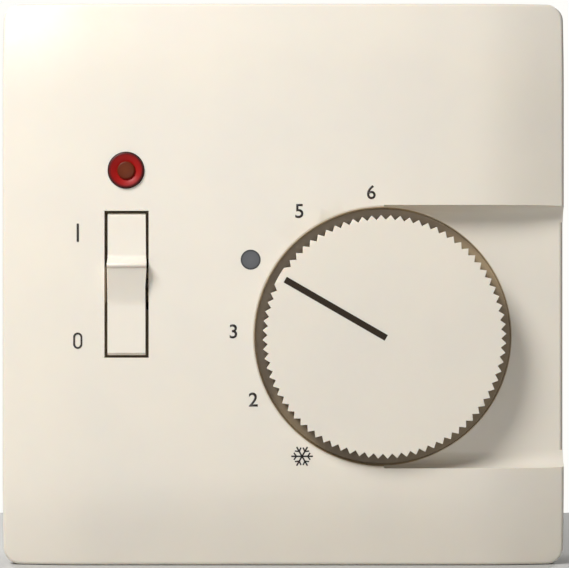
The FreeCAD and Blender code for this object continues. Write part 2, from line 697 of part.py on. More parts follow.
def rocker_cap():
    """The part of the key that shows: flat above, a crest, and a hollowed slope down to the lower flat."""
    half = ROCKER_H / 2
    x = ROCKER_X - ROCKER_W / 2
    top = FACE_DEPTH - 0.2
    low = FACE_DEPTH + 0.15
    crest = FACE_DEPTH + ROCKER_CREST
    under = ROCKER_PIVOT_DEPTH + 0.7
    crest_z = ROCKER_CREST_Z
    crest_r = 0.28
    rise = Part.BezierCurve()
    rise.setPoles([
        at(x, top, crest_z + 1.3),
        at(x, top, crest_z + 0.75),
        at(x, crest - crest_r, crest_z + crest_r),
    ])
    crown = Part.Arc(
        at(x, crest - crest_r, crest_z + crest_r),
        at(x, crest, crest_z),
        at(x, crest - crest_r * 0.8, crest_z - crest_r * 1.2),
    )
    slope = Part.BezierCurve()
    slope.setPoles([
        at(x, crest - crest_r * 0.8, crest_z - crest_r * 1.2),
        at(x, low + 0.35, crest_z - 3.0),
        at(x, low, crest_z - ROCKER_SLOPE_RUN),
    ])
    edges = [
        Part.makeLine(at(x, under, half - 0.5), at(x, top - 0.35, half)),
        Part.makeLine(at(x, top - 0.35, half), at(x, top, half - 0.3)),
        Part.makeLine(at(x, top, half - 0.3), at(x, top, crest_z + 1.3)),
        rise.toShape(),
        crown.toShape(),
        slope.toShape(),
        Part.makeLine(at(x, low, crest_z - ROCKER_SLOPE_RUN), at(x, low, -half + 0.3)),
        Part.makeLine(at(x, low, -half + 0.3), at(x, low - 0.35, -half)),
        Part.makeLine(at(x, low - 0.35, -half), at(x, under, -half + 0.5)),
        Part.makeLine(at(x, under, -half + 0.5), at(x, under, half - 0.5)),
    ]
    return Part.Face(Part.Wire(edges)).extrude(RIGHT * ROCKER_W)


ROCKER_STEM_DEPTH = 3.4
PLUNGER_R = 1.05
PLUNGER_TIP_R = 0.8
PLUNGER_HEAD_DEPTH = 4.4
PLUNGER_BORE_DEPTH = 6.4
BRIDGE_T = 0.6
BRIDGE_LEN = 14.0
BRIDGE_W = 3.2
BRIDGE_CONTACT_Z = 6.0


def rocker_key():
    hub = bar_x(2.0, ROCKER_X - ROCKER_W / 2, ROCKER_X + ROCKER_W / 2, ROCKER_PIVOT_DEPTH, 0)
    stem = block(ROCKER_X - 1.8, ROCKER_X + 1.8, ROCKER_STEM_DEPTH, ROCKER_PIVOT_DEPTH, -1.8, 1.8)
    bore = disc(PLUNGER_R + RUN, ROCKER_STEM_DEPTH, PLUNGER_BORE_DEPTH, ROCKER_X)
    stem = tipped(stem.cut(bore), -ROCKER_TILT / 2, ROCKER_PIVOT)
    key = joined([rocker_cap(), hub, stem])
    key = key.cut(tipped(bore, -ROCKER_TILT / 2, ROCKER_PIVOT))
    pin = bar_x(ROCKER_PIN_R + RUN, ROCKER_X - ROCKER_W, ROCKER_X + ROCKER_W, ROCKER_PIVOT_DEPTH, 0)
    return key.cut(pin)


def rocker_pivot_pin():
    reach = ROCKER_W / 2 + 0.25 + 1.2
    return bar_x(ROCKER_PIN_R, ROCKER_X - reach, ROCKER_X + reach, ROCKER_PIVOT_DEPTH, 0)


def rocker_plunger():
    """Sprung pin in the key's stem that tips the contact bridge over."""
    tip = BRIDGE_DEPTH + BRIDGE_T / 2 + CLEAR + 0.05
    body = disc(PLUNGER_R, ROCKER_STEM_DEPTH - 1.0, PLUNGER_HEAD_DEPTH, ROCKER_X)
    neck = disc(PLUNGER_TIP_R, tip + PLUNGER_TIP_R, ROCKER_STEM_DEPTH - 1.0, ROCKER_X)
    ball = Part.makeSphere(PLUNGER_TIP_R, at(ROCKER_X, tip + PLUNGER_TIP_R, 0))
    return tipped(joined([body, neck, ball]), -ROCKER_TILT / 2, ROCKER_PIVOT)


def rocker_spring():
    """Envelope of the coil spring behind the plunger."""
    tube = ring(PLUNGER_R, PLUNGER_R - 0.3, PLUNGER_HEAD_DEPTH, PLUNGER_BORE_DEPTH, ROCKER_X)
    return tipped(tube, -ROCKER_TILT / 2, ROCKER_PIVOT)


BRIDGE_PIVOT = at(ROCKER_X, BRIDGE_DEPTH, 0)


def contact_bridge():
    """Rocking contact arm, shown with its lower end on the fixed contact."""
    arm = block(
        ROCKER_X - BRIDGE_W / 2,
        ROCKER_X + BRIDGE_W / 2,
        BRIDGE_DEPTH - BRIDGE_T / 2,
        BRIDGE_DEPTH + BRIDGE_T / 2,
        -BRIDGE_LEN / 2,
        BRIDGE_LEN / 2,
    )
    knuckle = bar_x(0.7, ROCKER_X - BRIDGE_W / 2, ROCKER_X + BRIDGE_W / 2, BRIDGE_DEPTH - BRIDGE_T / 2, 0)
    knuckle = knuckle.common(block(-40, 0, BRIDGE_DEPTH - 2, BRIDGE_DEPTH, -2, 2))
    return tipped(joined([arm, knuckle]), BRIDGE_TURN / 2, BRIDGE_PIVOT)


def bridge_contact():
    back = BRIDGE_DEPTH - BRIDGE_T / 2
    button = disc(CONTACT_R, back - CONTACT_T, back, ROCKER_X, -BRIDGE_CONTACT_Z)
    return tipped(button, BRIDGE_TURN / 2, BRIDGE_PIVOT)


def bridge_support():
    """Brass stirrup on the board with two cheeks beside the bridge and a saddle under it."""
    saddle_top = BRIDGE_DEPTH - BRIDGE_T / 2 - 0.7 - CLEAR
    half = BRIDGE_W / 2
    saddle = block(ROCKER_X - half - 1.0, ROCKER_X + half + 1.0, -BOARD_Y, saddle_top, -1.5, 1.5)
    cheeks = []
    for side in (-1, 1):
        inner = ROCKER_X + side * (half + 0.2)
        outer = ROCKER_X + side * (half + 1.0)
        cheeks.append(
            block(min(inner, outer), max(inner, outer), -BOARD_Y, BRIDGE_DEPTH + 0.6, -1.5, 1.5)
        )
    return joined([saddle] + cheeks)


def switch_fixed_contact():
    """Brass post under the bridge's lower end."""
    sine = math.sin(math.radians(BRIDGE_TURN / 2))
    cosine = math.cos(math.radians(BRIDGE_TURN / 2))
    deepest = BRIDGE_DEPTH - (BRIDGE_T / 2 + CONTACT_T) * cosine - (BRIDGE_CONTACT_Z + CONTACT_R) * sine
    z = -BRIDGE_CONTACT_Z
    foot = block(ROCKER_X - 1.6, ROCKER_X + 1.6, -BOARD_Y, -BOARD_Y + 0.8, z - 3.4, z + 1.6)
    post = block(ROCKER_X - 1.2, ROCKER_X + 1.2, -BOARD_Y, deepest - CONTACT_PLAY, z - 1.2, z + 1.2)
    return joined([foot, post])


# ---- insert: support plate, tray, cup --------------------------------------------------------
def cup_outline(radius, flat_z, back, front):
    """A round bar with a flat side below."""
    return disc(radius, back, front).common(block(-radius, radius, back, front, flat_z, radius))


def level_slot(x):
    """Upright slot through the support plate beside the cup: it lets the thermostat be set level."""
    half = BOX_SLOT_TRAVEL / 2
    r = BOX_SCREW_HOLE_R
    slot = block(x - r, x + r, 0, SUPPORT_T, -half, half)
    return slot.fuse([disc(r, 0, SUPPORT_T, x, half), disc(r, 0, SUPPORT_T, x, -half)])


def support_plate():
    """Steel plate that the wall box's screws hold against the wall."""
    width = PLATE_W - 2 * PLATE_WALL - 2 * SUPPORT_GAP
    height = PLATE_H - 2 * PLATE_WALL - 2 * SUPPORT_GAP
    plate = rounded_block(width, height, 3.0, 0, SUPPORT_T)
    plate = plate.cut(cup_outline(CUP_INNER_R - 0.2, CUP_INNER_Z + 0.2, 0, SUPPORT_T))
    half = BOX_SCREW_SPACING / 2
    for side in (-1, 1):
        plate = plate.cut(level_slot(side * half))
        plate = plate.cut(disc(BOX_SCREW_HOLE_R, 0, SUPPORT_T, 0, side * half))
    for corner_x in (-1, 1):
        for corner_z in (-1, 1):
            x = corner_x * (width / 2 - 4.0)
            z = corner_z * (height / 2 - 4.0)
            plate = plate.cut(disc(1.6, 0, SUPPORT_T, x, z))
    for place in housing_screw_places():
        tab = disc(3.4, 0, SUPPORT_T, place.x, place.z)
        plate = plate.fuse(tab.common(disc(CUP_R, 0, SUPPORT_T)))
        plate = plate.cut(disc(HOUSING_SCREW_R + CLEAR, 0, SUPPORT_T, place.x, place.z))
    return plate.removeSplitter()


def rocker_ears():
    ears = []
    inner = ROCKER_W / 2 + 0.25
    outer = inner + 1.2
    for side in (-1, 1):
        near = ROCKER_X + side * inner
        far = ROCKER_X + side * outer
        top = ROCKER_PIVOT_DEPTH + ROCKER_PIN_R + 0.4
        ears.append(block(min(near, far), max(near, far), TRAY_UNDER_DEPTH, top, -2.2, 2.2))
    return ears


def front_housing():
    """Moulded tray over the mechanism: spindle bearing, rocker ears, lamp tube and screw bosses."""
    back = SUPPORT_T
    flat = CUP_INNER_Z - 0.9
    tray = cup_outline(TRAY_R, flat, back, TRAY_TOP_DEPTH)
    hollow = cup_outline(TRAY_R - TRAY_WALL, flat + TRAY_WALL, back, TRAY_UNDER_DEPTH)
    solids = [tray.cut(hollow)]
    solids += rocker_ears()
    solids.append(disc(LENS_HOLE_R + 0.8, back, LAMP_TUBE_DEPTH, LENS_X, LENS_Z))
    solids.append(disc(SPINDLE_R + 1.8, BEARING_BACK_DEPTH, TRAY_TOP_DEPTH, DIAL_X, DIAL_Z))
    solids.append(disc(COVER_SCREW_R + 1.3, 0.9, TRAY_TOP_DEPTH, COVER_SCREW_X, DIAL_Z))
    for place in housing_screw_places():
        solids.append(disc(SCREW_BOSS_R, back, TRAY_TOP_DEPTH, place.x, place.z))
    for x, z in BOARD_POSTS:
        solids.append(disc(1.2, -BOARD_Y, TRAY_TOP_DEPTH, x, z))
    housing = joined(solids)
    half = ROCKER_W / 2 + 0.25
    spaces = [
        disc(SPINDLE_R + RUN, 0, TRAY_TOP_DEPTH, DIAL_X, DIAL_Z),
        disc(COVER_SCREW_R, 0, TRAY_TOP_DEPTH, COVER_SCREW_X, DIAL_Z),
        disc(LENS_HOLE_R, back, LAMP_TUBE_DEPTH, LENS_X, LENS_Z),
        block(ROCKER_X - half, ROCKER_X + half, back, TRAY_TOP_DEPTH, -3.2, 3.2),
        bar_x(ROCKER_PIN_R, ROCKER_X - ROCKER_W, ROCKER_X + ROCKER_W, ROCKER_PIVOT_DEPTH, 0),
    ]
    for place in housing_screw_places():
        spaces.append(disc(HOUSING_SCREW_R + CLEAR, 0, TRAY_TOP_DEPTH, place.x, place.z))
    for space in spaces:
        housing = housing.cut(space)
    return housing


def rear_housing():
    """Moulded cup inside the wall box, with wire entries in its flat side."""
    floor = -CUP_DEPTH + CUP_FLOOR_T
    cup = cup_outline(CUP_R, CUP_FLAT_Z, -CUP_DEPTH, 0)
    back_edges = [e for e in cup.Edges if e.BoundBox.YMin > CUP_DEPTH - 0.01]
    cup = cup.makeChamfer(0.9, back_edges)
    cup = cup.cut(cup_outline(CUP_INNER_R, CUP_INNER_Z, floor, 0))
    solids = [cup]
    for place in housing_screw_places():
        boss = disc(SCREW_BOSS_R, floor, 0, place.x, place.z)
        solids.append(boss.common(disc(CUP_R - 0.1, floor, 0)))
    for x, z in BOARD_POSTS:
        solids.append(disc(1.6, floor, -BOARD_BACK_Y, x, z))
    for i in range(TERMINALS + 1):
        x = (i - TERMINALS / 2.0) * TERMINAL_PITCH
        half = TERMINAL_RIB_T / 2
        rib_top = TERMINAL_Z + TERMINAL_LEN
        solids.append(block(x - half, x + half, floor, -BOARD_BACK_Y, CUP_INNER_Z, rib_top))
    housing = joined(solids)
    for place in housing_screw_places():
        housing = housing.cut(disc(HOUSING_SCREW_R, -11.0, 0, place.x, place.z))
    screw_z = TERMINAL_Z + TERMINAL_LEN / 2
    for x in TERMINAL_XS:
        housing = housing.cut(bar_z(WIRE_R + 0.6, CUP_FLAT_Z - 1, CUP_INNER_Z + 0.2, x, -WIRE_Y))
        housing = housing.cut(disc(TERMINAL_HEAD_R + CLEAR, -CUP_DEPTH, floor, x, screw_z))
    return housing


def housing_screws():
    """Three pan-head screws through tray and support plate into the cup."""
    screws = []
    head_top = TRAY_TOP_DEPTH + HOUSING_SCREW_HEAD_T
    recess = head_top - 0.8
    arm = 1.3
    half = 0.3
    for place in housing_screw_places():
        x = place.x
        z = place.z
        shank = disc(HOUSING_SCREW_R, -10.0, TRAY_TOP_DEPTH, x, z)
        head = disc(HOUSING_SCREW_HEAD_R, TRAY_TOP_DEPTH, head_top, x, z)
        screw = joined([shank, head])
        across = block(x - arm, x + arm, recess, head_top, z - half, z + half)
        upright = block(x - half, x + half, recess, head_top, z - arm, z + arm)
        screws.append(screw.cut(across).cut(upright))
    return Part.makeCompound(screws)


# ---- board and electrical parts --------------------------------------------------------------
def circuit_board():
    board = cup_outline(CUP_INNER_R - 0.8, BOARD_Z, -BOARD_BACK_Y, -BOARD_Y)
    for place in housing_screw_places():
        board = board.cut(disc(SCREW_BOSS_R + 0.3, -BOARD_BACK_Y, -BOARD_Y, place.x, place.z))
    return board


def resistor(x, z, length, radius, upright):
    """A wire-ended resistor lying above the board, its leads bent down to the board."""
    depth = -BOARD_Y + radius + 0.5
    lead = 0.25
    leg = 0.35
    reach = length / 2 + 1.2
    if upright:
        body = bar_z(radius, z - length / 2, z + length / 2, x, depth)
        wires = bar_z(lead, z - reach, z + reach, x, depth)
        legs = [disc(leg, -BOARD_Y, depth + leg, x, z + side * reach) for side in (-1, 1)]
    else:
        body = bar_x(radius, x - length / 2, x + length / 2, depth, z)
        wires = bar_x(lead, x - reach, x + reach, depth, z)
        legs = [disc(leg, -BOARD_Y, depth + leg, x + side * reach, z) for side in (-1, 1)]
    return joined([body, wires] + legs)


def feedback_resistor():
    """Warms the bimetal a little while the heating is on."""
    return resistor(-8.2, 3.0, 6.5, 1.3, True)


def lamp_resistor():
    return resistor(-6.0, 16.5, 5.5, 1.1, False)


def suppression_capacitor():
    """Spark quencher across the contact."""
    body = block(8.0, 17.5, -BOARD_Y, -BOARD_Y + 6.0, 9.0, 12.6)
    return body.makeFillet(0.6, body.Edges)


def neon_lamp():
    """Glow lamp under the lens, on two long leads from the board."""
    shoulder = LAMP_TUBE_DEPTH - 1.2
    glass = disc(LAMP_R, 1.6, shoulder, LENS_X, LENS_Z)
    tip = Part.makeSphere(LAMP_R, at(LENS_X, shoulder, LENS_Z))
    tip = tip.common(disc(LAMP_R, shoulder, LAMP_TUBE_DEPTH, LENS_X, LENS_Z))
    across = polar(0.7, math.degrees(math.atan2(LENS_Z, LENS_X)) + 90)
    legs = []
    for side in (-1, 1):
        legs.append(disc(0.25, -BOARD_Y, 1.6, LENS_X + side * across.x, LENS_Z + side * across.z))
    return joined([glass, tip] + legs)


def terminal_blocks():
    """Five brass clamps: a wire bore along Z, crossed by the clamping screw, and a pin to the board."""
    blocks = []
    back = -TERMINAL_Y - TERMINAL_H
    screw_z = TERMINAL_Z + TERMINAL_LEN / 2
    for x in TERMINAL_XS:
        half = TERMINAL_W / 2
        body = block(x - half, x + half, back, -TERMINAL_Y, TERMINAL_Z, TERMINAL_Z + TERMINAL_LEN)
        body = body.makeFillet(0.4, along(body, UP))
        pin = block(x - 0.5, x + 0.5, -TERMINAL_Y, -BOARD_BACK_Y, screw_z - 0.5, screw_z + 0.5)
        body = joined([body, pin])
        body = body.cut(bar_z(WIRE_R, TERMINAL_Z, TERMINAL_Z + TERMINAL_LEN, x, -WIRE_Y))
        blocks.append(body.cut(disc(TERMINAL_SCREW_R, back, -WIRE_Y, x, screw_z)))
    return Part.makeCompound(blocks)


def terminal_screws():
    screws = []
    back = -TERMINAL_Y - TERMINAL_H
    z = TERMINAL_Z + TERMINAL_LEN / 2
    for x in TERMINAL_XS:
        shank = disc(TERMINAL_SCREW_R, back, -WIRE_Y - WIRE_R - CLEAR, x, z)
        head = disc(TERMINAL_HEAD_R, back - TERMINAL_HEAD_T, back, x, z)
        screw = joined([shank, head])
        slot_back = back - TERMINAL_HEAD_T
        slot = block(x - 3.0, x + 3.0, slot_back, slot_back + 0.8, z - 0.35, z + 0.35)
        screws.append(screw.cut(slot))
    return Part.makeCompound(screws)


# ---- output ----------------------------------------------------------------------------------
NODES = [
    cover_plate,
    cover_screw,
    indicator_lens,
    dial_knob,
    pointer_inlay,
    limit_ring_max,
    limit_ring_min,
    setpoint_spindle,
    spindle_retaining_ring,
    friction_washer,
    setpoint_cam,
    setpoint_lever,
    calibration_screw,
    mechanism_bracket,
    lever_pivot_pin,
    lever_pivot_clip,
    lever_return_spring,
    bimetal_strip,
    bimetal_clamp,
    moving_contact,
    armature,
    magnet,
    magnet_yoke,
    fixed_contact,
    fixed_contact_blade,
    rocker_key,
    rocker_pivot_pin,
    rocker_plunger,
    rocker_spring,
    contact_bridge,
    bridge_contact,
    bridge_support,
    switch_fixed_contact,
    support_plate,
    front_housing,
    rear_housing,
    housing_screws,
    circuit_board,
    feedback_resistor,
    lamp_resistor,
    suppression_capacitor,
    neon_lamp,
    terminal_blocks,
    terminal_screws,
]


def main():
    os.makedirs("parts", exist_ok=True)
    for make in NODES:
        shape = make()
        shape.exportStep("parts/" + make.__name__ + ".step")
        size = round(shape.Volume, 2)
        print(make.__name__, len(shape.Solids), "solid(s),", size, "mm3, valid:", shape.isValid())


main()
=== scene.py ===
"""Wall thermostat: the finished looks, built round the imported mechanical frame."""

import math

import bmesh
import bpy
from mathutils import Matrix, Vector


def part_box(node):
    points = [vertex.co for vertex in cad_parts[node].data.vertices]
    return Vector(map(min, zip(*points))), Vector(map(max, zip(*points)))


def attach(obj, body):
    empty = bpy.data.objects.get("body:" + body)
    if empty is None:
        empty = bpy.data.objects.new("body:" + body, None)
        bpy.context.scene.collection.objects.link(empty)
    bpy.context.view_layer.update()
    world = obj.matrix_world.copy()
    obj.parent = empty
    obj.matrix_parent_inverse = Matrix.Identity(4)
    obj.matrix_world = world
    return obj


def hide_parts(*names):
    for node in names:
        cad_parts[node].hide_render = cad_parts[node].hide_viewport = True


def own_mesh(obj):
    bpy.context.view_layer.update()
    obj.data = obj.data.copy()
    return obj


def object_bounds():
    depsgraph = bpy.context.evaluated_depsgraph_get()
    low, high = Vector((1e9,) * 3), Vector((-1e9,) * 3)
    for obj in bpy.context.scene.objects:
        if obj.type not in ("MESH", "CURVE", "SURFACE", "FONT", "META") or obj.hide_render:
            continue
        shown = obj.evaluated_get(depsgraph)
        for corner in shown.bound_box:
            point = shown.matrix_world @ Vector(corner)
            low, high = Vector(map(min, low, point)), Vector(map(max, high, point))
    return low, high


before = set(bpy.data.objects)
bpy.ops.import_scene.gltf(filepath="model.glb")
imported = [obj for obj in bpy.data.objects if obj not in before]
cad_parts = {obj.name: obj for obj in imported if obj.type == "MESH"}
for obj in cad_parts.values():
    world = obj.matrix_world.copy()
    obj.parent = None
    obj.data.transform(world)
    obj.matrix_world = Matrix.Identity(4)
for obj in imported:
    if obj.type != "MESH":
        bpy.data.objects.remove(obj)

bl_info = {
    "name": "Wall thermostat",
    "version": (1, 0, 0),
    "blender": (4, 5, 0),
    "location": "3D View > Sidebar > Thermostat",
    "description": "Builds the looks of a wall thermostat around its mechanical frame",
    "category": "Object",
}

MM = 0.001
CAD_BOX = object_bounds()
KNOB_LOW, KNOB_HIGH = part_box("dial_knob")
KEY_LOW, KEY_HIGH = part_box("rocker_key")
LENS_LOW, LENS_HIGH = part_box("indicator_lens")
FACE_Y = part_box("cover_plate")[0].y
DIAL_CENTRE = Vector(((KNOB_LOW.x + KNOB_HIGH.x) / 2, 0, (KNOB_LOW.z + KNOB_HIGH.z) / 2))
LENS_CENTRE = Vector(((LENS_LOW.x + LENS_HIGH.x) / 2, LENS_LOW.y, (LENS_LOW.z + LENS_HIGH.z) / 2))
CHANNEL_RADIUS = 16.05 * MM
LENS_RADIUS = 2.2 * MM
LENS_FLANGE_RADIUS = (LENS_HIGH.x - LENS_LOW.x) / 2
LENS_FLANGE_BACK = 7.3 * MM
LENS_FLANGE_FRONT = 8.2 * MM
LENS_STEM_WALL = 0.5 * MM
LENS_CORE_WALL = 0.5 * MM
LENS_PIP_STEPS = ((0.03, 0.05), (0.06, 0.04), (0.12, 0.02))  # inward and forward, in millimetres
# Width of the soft edge of the painted shade in the channel round the dial.
CHANNEL_SHADE_EDGE = 0.08 * MM

COVER_GRAIN = (4000.0, 0.004 * MM)  # noise scale and depth
DIAL_GRAIN = (1900.0, 0.012 * MM)
KEY_GRAIN = (5000.0, 0.002 * MM)

NUMERALS = (("6", 95, 18.0), ("5", 124, 18.8), ("3", 178, 18.7), ("2", 205.7, 18.0))  # degrees, millimetres
NUMERAL_WEIGHT = 0.012
DOT_ANGLE = 150
DOT_DISTANCE = 19.1 * MM
FROST_ANGLE = 235.6
FROST_DISTANCE = 18.0 * MM
FROST_REACH = 1.25 * MM
FROST_LINE = 0.2 * MM
FROST_FORK = 0.56
FROST_BRANCH = 0.36
FROST_THIN = 0.9
FROST_LEAN = 55  # degrees
SWITCH_MARK_X = -25.5 * MM
SWITCH_ON_Z = 6.4 * MM
SWITCH_ON_HALF = 1.0 * MM
SWITCH_ON_LINE = 0.28 * MM
SWITCH_OFF_Z = -7.0 * MM
SWITCH_OFF_RADIUS = 0.57 * MM
SWITCH_OFF_STRAIGHT = 0.44 * MM

KEY_LEAN = 4  # degrees
KEY_COIL_LENGTH = 2.0 * MM
KEY_COIL_TURNS = 5
RETURN_COIL_TURNS = 8

UPRIGHT = (math.radians(90), 0, 0)
FLOOR_SIZE = 0.6
FLOOR_MIDDLE_Y = -0.24
FLOOR_GAP = 0.05 * MM
KEY_LIGHT = ((-0.14, -0.17, 0.20), 0.13)
FRONT_LIGHT = ((-0.01, -0.34, 0.01), 0.14)
BACK_LIGHT = (0.25, 0.42, 0.30)
BACK_LIGHT_SIZE = 0.16
BACK_LIGHT_AIM = (0, 0.09, -0.01)
BACK_LIGHT_SPREAD = 38
BACKDROP_STRENGTH = 1.0
CAMERA_X = 0.156 * MM
CAMERA_Z = 0.03 * MM


# ---------------------------------------------------------------- settings
class CoverSettings(bpy.types.PropertyGroup):
    ivory: bpy.props.FloatVectorProperty(
        name="Ivory",
        description="Colour of the moulded cover, key and dial",
        subtype="COLOR",
        size=3,
        default=(0.758, 0.705, 0.62),
        min=0.0,
        max=1.0,
    )
    # Painted shade: the cover's colour in the deep channel round the dial, darker and browner to stand for
    # the shade there.
    channel: bpy.props.FloatVectorProperty(
        name="Channel",
        description="Colour of the cover in the channel round the dial",
        subtype="COLOR",
        size=3,
        default=(0.40, 0.295, 0.165),
        min=0.0,
        max=1.0,
    )
    gloss: bpy.props.FloatProperty(
        name="Cover roughness",
        description="Roughness of the semi-gloss cover",
        subtype="FACTOR",
        default=0.34,
        min=0.0,
        max=1.0,
    )
    soften: bpy.props.FloatProperty(
        name="Soften angle",
        description="Edges of the cover flatter than this are shaded smooth",
        unit="ROTATION",
        default=math.radians(50),
    )


class MarkSettings(bpy.types.PropertyGroup):
    numeral_height: bpy.props.FloatProperty(
        name="Numeral height",
        description="Height of the dial numerals",
        unit="LENGTH",
        default=1.75 * MM,
    )
    ink_depth: bpy.props.FloatProperty(
        name="Ink thickness",
        description="How far the print stands off the cover",
        unit="LENGTH",
        default=0.012 * MM,
    )
    dot_radius: bpy.props.FloatProperty(
        name="Dot radius",
        description="Radius of the grey dot at the usual setting",
        unit="LENGTH",
        default=1.24 * MM,
    )
    ink: bpy.props.FloatVectorProperty(
        name="Ink",
        description="Colour of the printed marks",
        subtype="COLOR",
        size=3,
        default=(0.014, 0.010, 0.007),
        min=0.0,
        max=1.0,
    )


class DialSettings(bpy.types.PropertyGroup):
    edge: bpy.props.FloatProperty(
        name="Dial edge",
        description="Rounding of the knob's toothed rim",
        unit="LENGTH",
        default=0.06 * MM,
    )
    gloss: bpy.props.FloatProperty(
        name="Dial roughness",
        description="Roughness of the fine-textured dial",
        subtype="FACTOR",
        default=0.6,
        min=0.0,
        max=1.0,
    )


class RockerSettings(bpy.types.PropertyGroup):
    edge: bpy.props.FloatProperty(
        name="Key edge",
        description="Rounding along the rocker key's outline",
        unit="LENGTH",
        default=0.16 * MM,
    )
    bow: bpy.props.FloatProperty(
        name="Crest bow",
        description="How far the key widens beside its finger crest",
        unit="LENGTH",
        default=0.2 * MM,
    )
    bow_reach: bpy.props.FloatProperty(
        name="Bow reach",
        description="How far from the crest the widening dies away",
        unit="LENGTH",
        default=2.6 * MM,
    )


class LensSettings(bpy.types.PropertyGroup):
    edge: bpy.props.FloatProperty(
        name="Lens edge",
        description="Rounding round the lens front",
        unit="LENGTH",
        default=0.18 * MM,
    )
    rim: bpy.props.FloatProperty(
        name="Lens rim",
        description="Width of the flat ring round the lens front",
        unit="LENGTH",
        default=0.06 * MM,
    )
    dish: bpy.props.FloatProperty(
        name="Lens dish",
        description="How deep the front dips between the rim and the core",
        unit="LENGTH",
        default=0.42 * MM,
    )
    core: bpy.props.FloatProperty(
        name="Lens core",
        description="Radius of the raised middle over the hollow core",
        unit="LENGTH",
        default=1.12 * MM,
    )


class SpringSettings(bpy.types.PropertyGroup):
    rocker_wire: bpy.props.FloatProperty(
        name="Rocker spring wire",
        description="Wire diameter of the spring in the rocker key",
        unit="LENGTH",
        default=0.22 * MM,
    )
    return_wire: bpy.props.FloatProperty(
        name="Return spring wire",
        description="Wire diameter of the lever's return spring",
        unit="LENGTH",
        default=0.3 * MM,
    )


class StageSettings(bpy.types.PropertyGroup):
    distance: bpy.props.FloatProperty(
        name="Camera distance",
        description="Distance of the camera from the wall plane",
        unit="LENGTH",
        default=0.3085,
    )
    lens: bpy.props.FloatProperty(
        name="Lens",
        description="Focal length of the camera in millimetres",
        unit="CAMERA",
        default=152.0,
    )
    key_light: bpy.props.FloatProperty(
        name="Key light",
        description="Power of the soft light at the upper left",
        unit="POWER",
        default=1.0,
    )
    front_light: bpy.props.FloatProperty(
        name="Front light",
        description="Power of the soft light behind the camera",
        unit="POWER",
        default=0.165,
    )
    back_light: bpy.props.FloatProperty(
        name="Back lights",
        description="Power of each of the two soft lights behind the wall plane",
        unit="POWER",
        default=0.09,
    )
    fill: bpy.props.FloatProperty(
        name="Fill",
        description="Strength of the even light from all round",
        default=0.105,
        min=0.0,
    )


# ---------------------------------------------------------------- modelling
def rest():
    """Leaves edit mode and deselects everything."""
    if bpy.context.object and bpy.context.object.mode != "OBJECT":
        bpy.ops.object.mode_set(mode="OBJECT")
    bpy.ops.object.select_all(action="DESELECT")


def pick(obj):
    """Makes obj the only selected object and the active one."""
    rest()
    obj.select_set(True)
    bpy.context.view_layer.objects.active = obj


def open_mesh(obj):
    """Enters edit mode on obj with nothing selected."""
    pick(obj)
    bpy.ops.object.mode_set(mode="EDIT")
    bpy.ops.mesh.select_all(action="DESELECT")


def choose(obj, kind, test):
    """Selects the vertices, edges or faces of obj that pass the test, in edit mode."""
    bpy.ops.mesh.select_mode(type=kind)
    mesh = bmesh.from_edit_mesh(obj.data)
    elements = {"VERT": mesh.verts, "EDGE": mesh.edges, "FACE": mesh.faces}[kind]
    count = 0
    for element in elements:
        wanted = bool(test(element))
        element.select_set(wanted)
        count += wanted
    mesh.select_flush_mode()
    bmesh.update_edit_mesh(obj.data)
    return count


def close_mesh(obj, merge=0.2e-6):
    """Merges doubles, turns the faces outwards and leaves edit mode."""
    bpy.ops.mesh.select_mode(type="VERT")
    bpy.ops.mesh.select_all(action="SELECT")
    bpy.ops.mesh.remove_doubles(threshold=merge)
    bpy.ops.mesh.normals_make_consistent(inside=False)
    bpy.ops.object.mode_set(mode="OBJECT")


def settle(obj):
    """Puts the object's place, turn and size into its mesh."""
    pick(obj)
    bpy.ops.object.transform_apply(location=True, rotation=True, scale=True)


def merged_copy(node, name):
    """A welded copy of a CAD node's mesh, free of the frame."""
    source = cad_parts[node]
    copy = bpy.data.objects.new(name, source.data.copy())
    bpy.context.scene.collection.objects.link(copy)
    copy.data.name = name
    open_mesh(copy)
    bpy.ops.mesh.select_all(action="SELECT")
    bpy.ops.mesh.customdata_custom_splitnormals_clear()
    bpy.ops.mesh.remove_doubles(threshold=1e-6)
    bpy.ops.mesh.dissolve_limited(angle_limit=math.radians(0.02))
    bpy.ops.object.mode_set(mode="OBJECT")
    return copy


def soften(obj, angle, weighted=True):
    """Smooth shading below the angle, with flat faces kept flat."""
    pick(obj)
    bpy.ops.object.shade_smooth_by_angle(angle=angle)
    if weighted:
        bpy.ops.object.modifier_add(type="WEIGHTED_NORMAL")
        obj.modifiers[-1].keep_sharp = True
        obj.modifiers[-1].weight = 90
        bpy.ops.object.modifier_apply(modifier=obj.modifiers[-1].name)


def bevel_all(obj, width, segments, angle):
    """Rounds every edge sharper than the angle."""
    pick(obj)
    bpy.ops.object.modifier_add(type="BEVEL")
    modifier = obj.modifiers[-1]
    modifier.width = width
    modifier.segments = segments
    modifier.limit_method = "ANGLE"
    modifier.angle_limit = angle
    modifier.use_clamp_overlap = True
    bpy.ops.object.modifier_apply(modifier=modifier.name)


def hand_over(obj, body, slot, material, *nodes):
    """Gives a finished piece its material and its body, and hides the CAD nodes it stands for."""
    obj.data.materials.clear()
    obj.data.materials.append(material)
    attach(obj, body)
    if nodes:
        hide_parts(*nodes)
    rest()


def dress(material, *nodes):
    """Assigns a material to CAD nodes whose shape is right."""
    for node in nodes:
        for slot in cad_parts[node].material_slots:
            slot.material = material


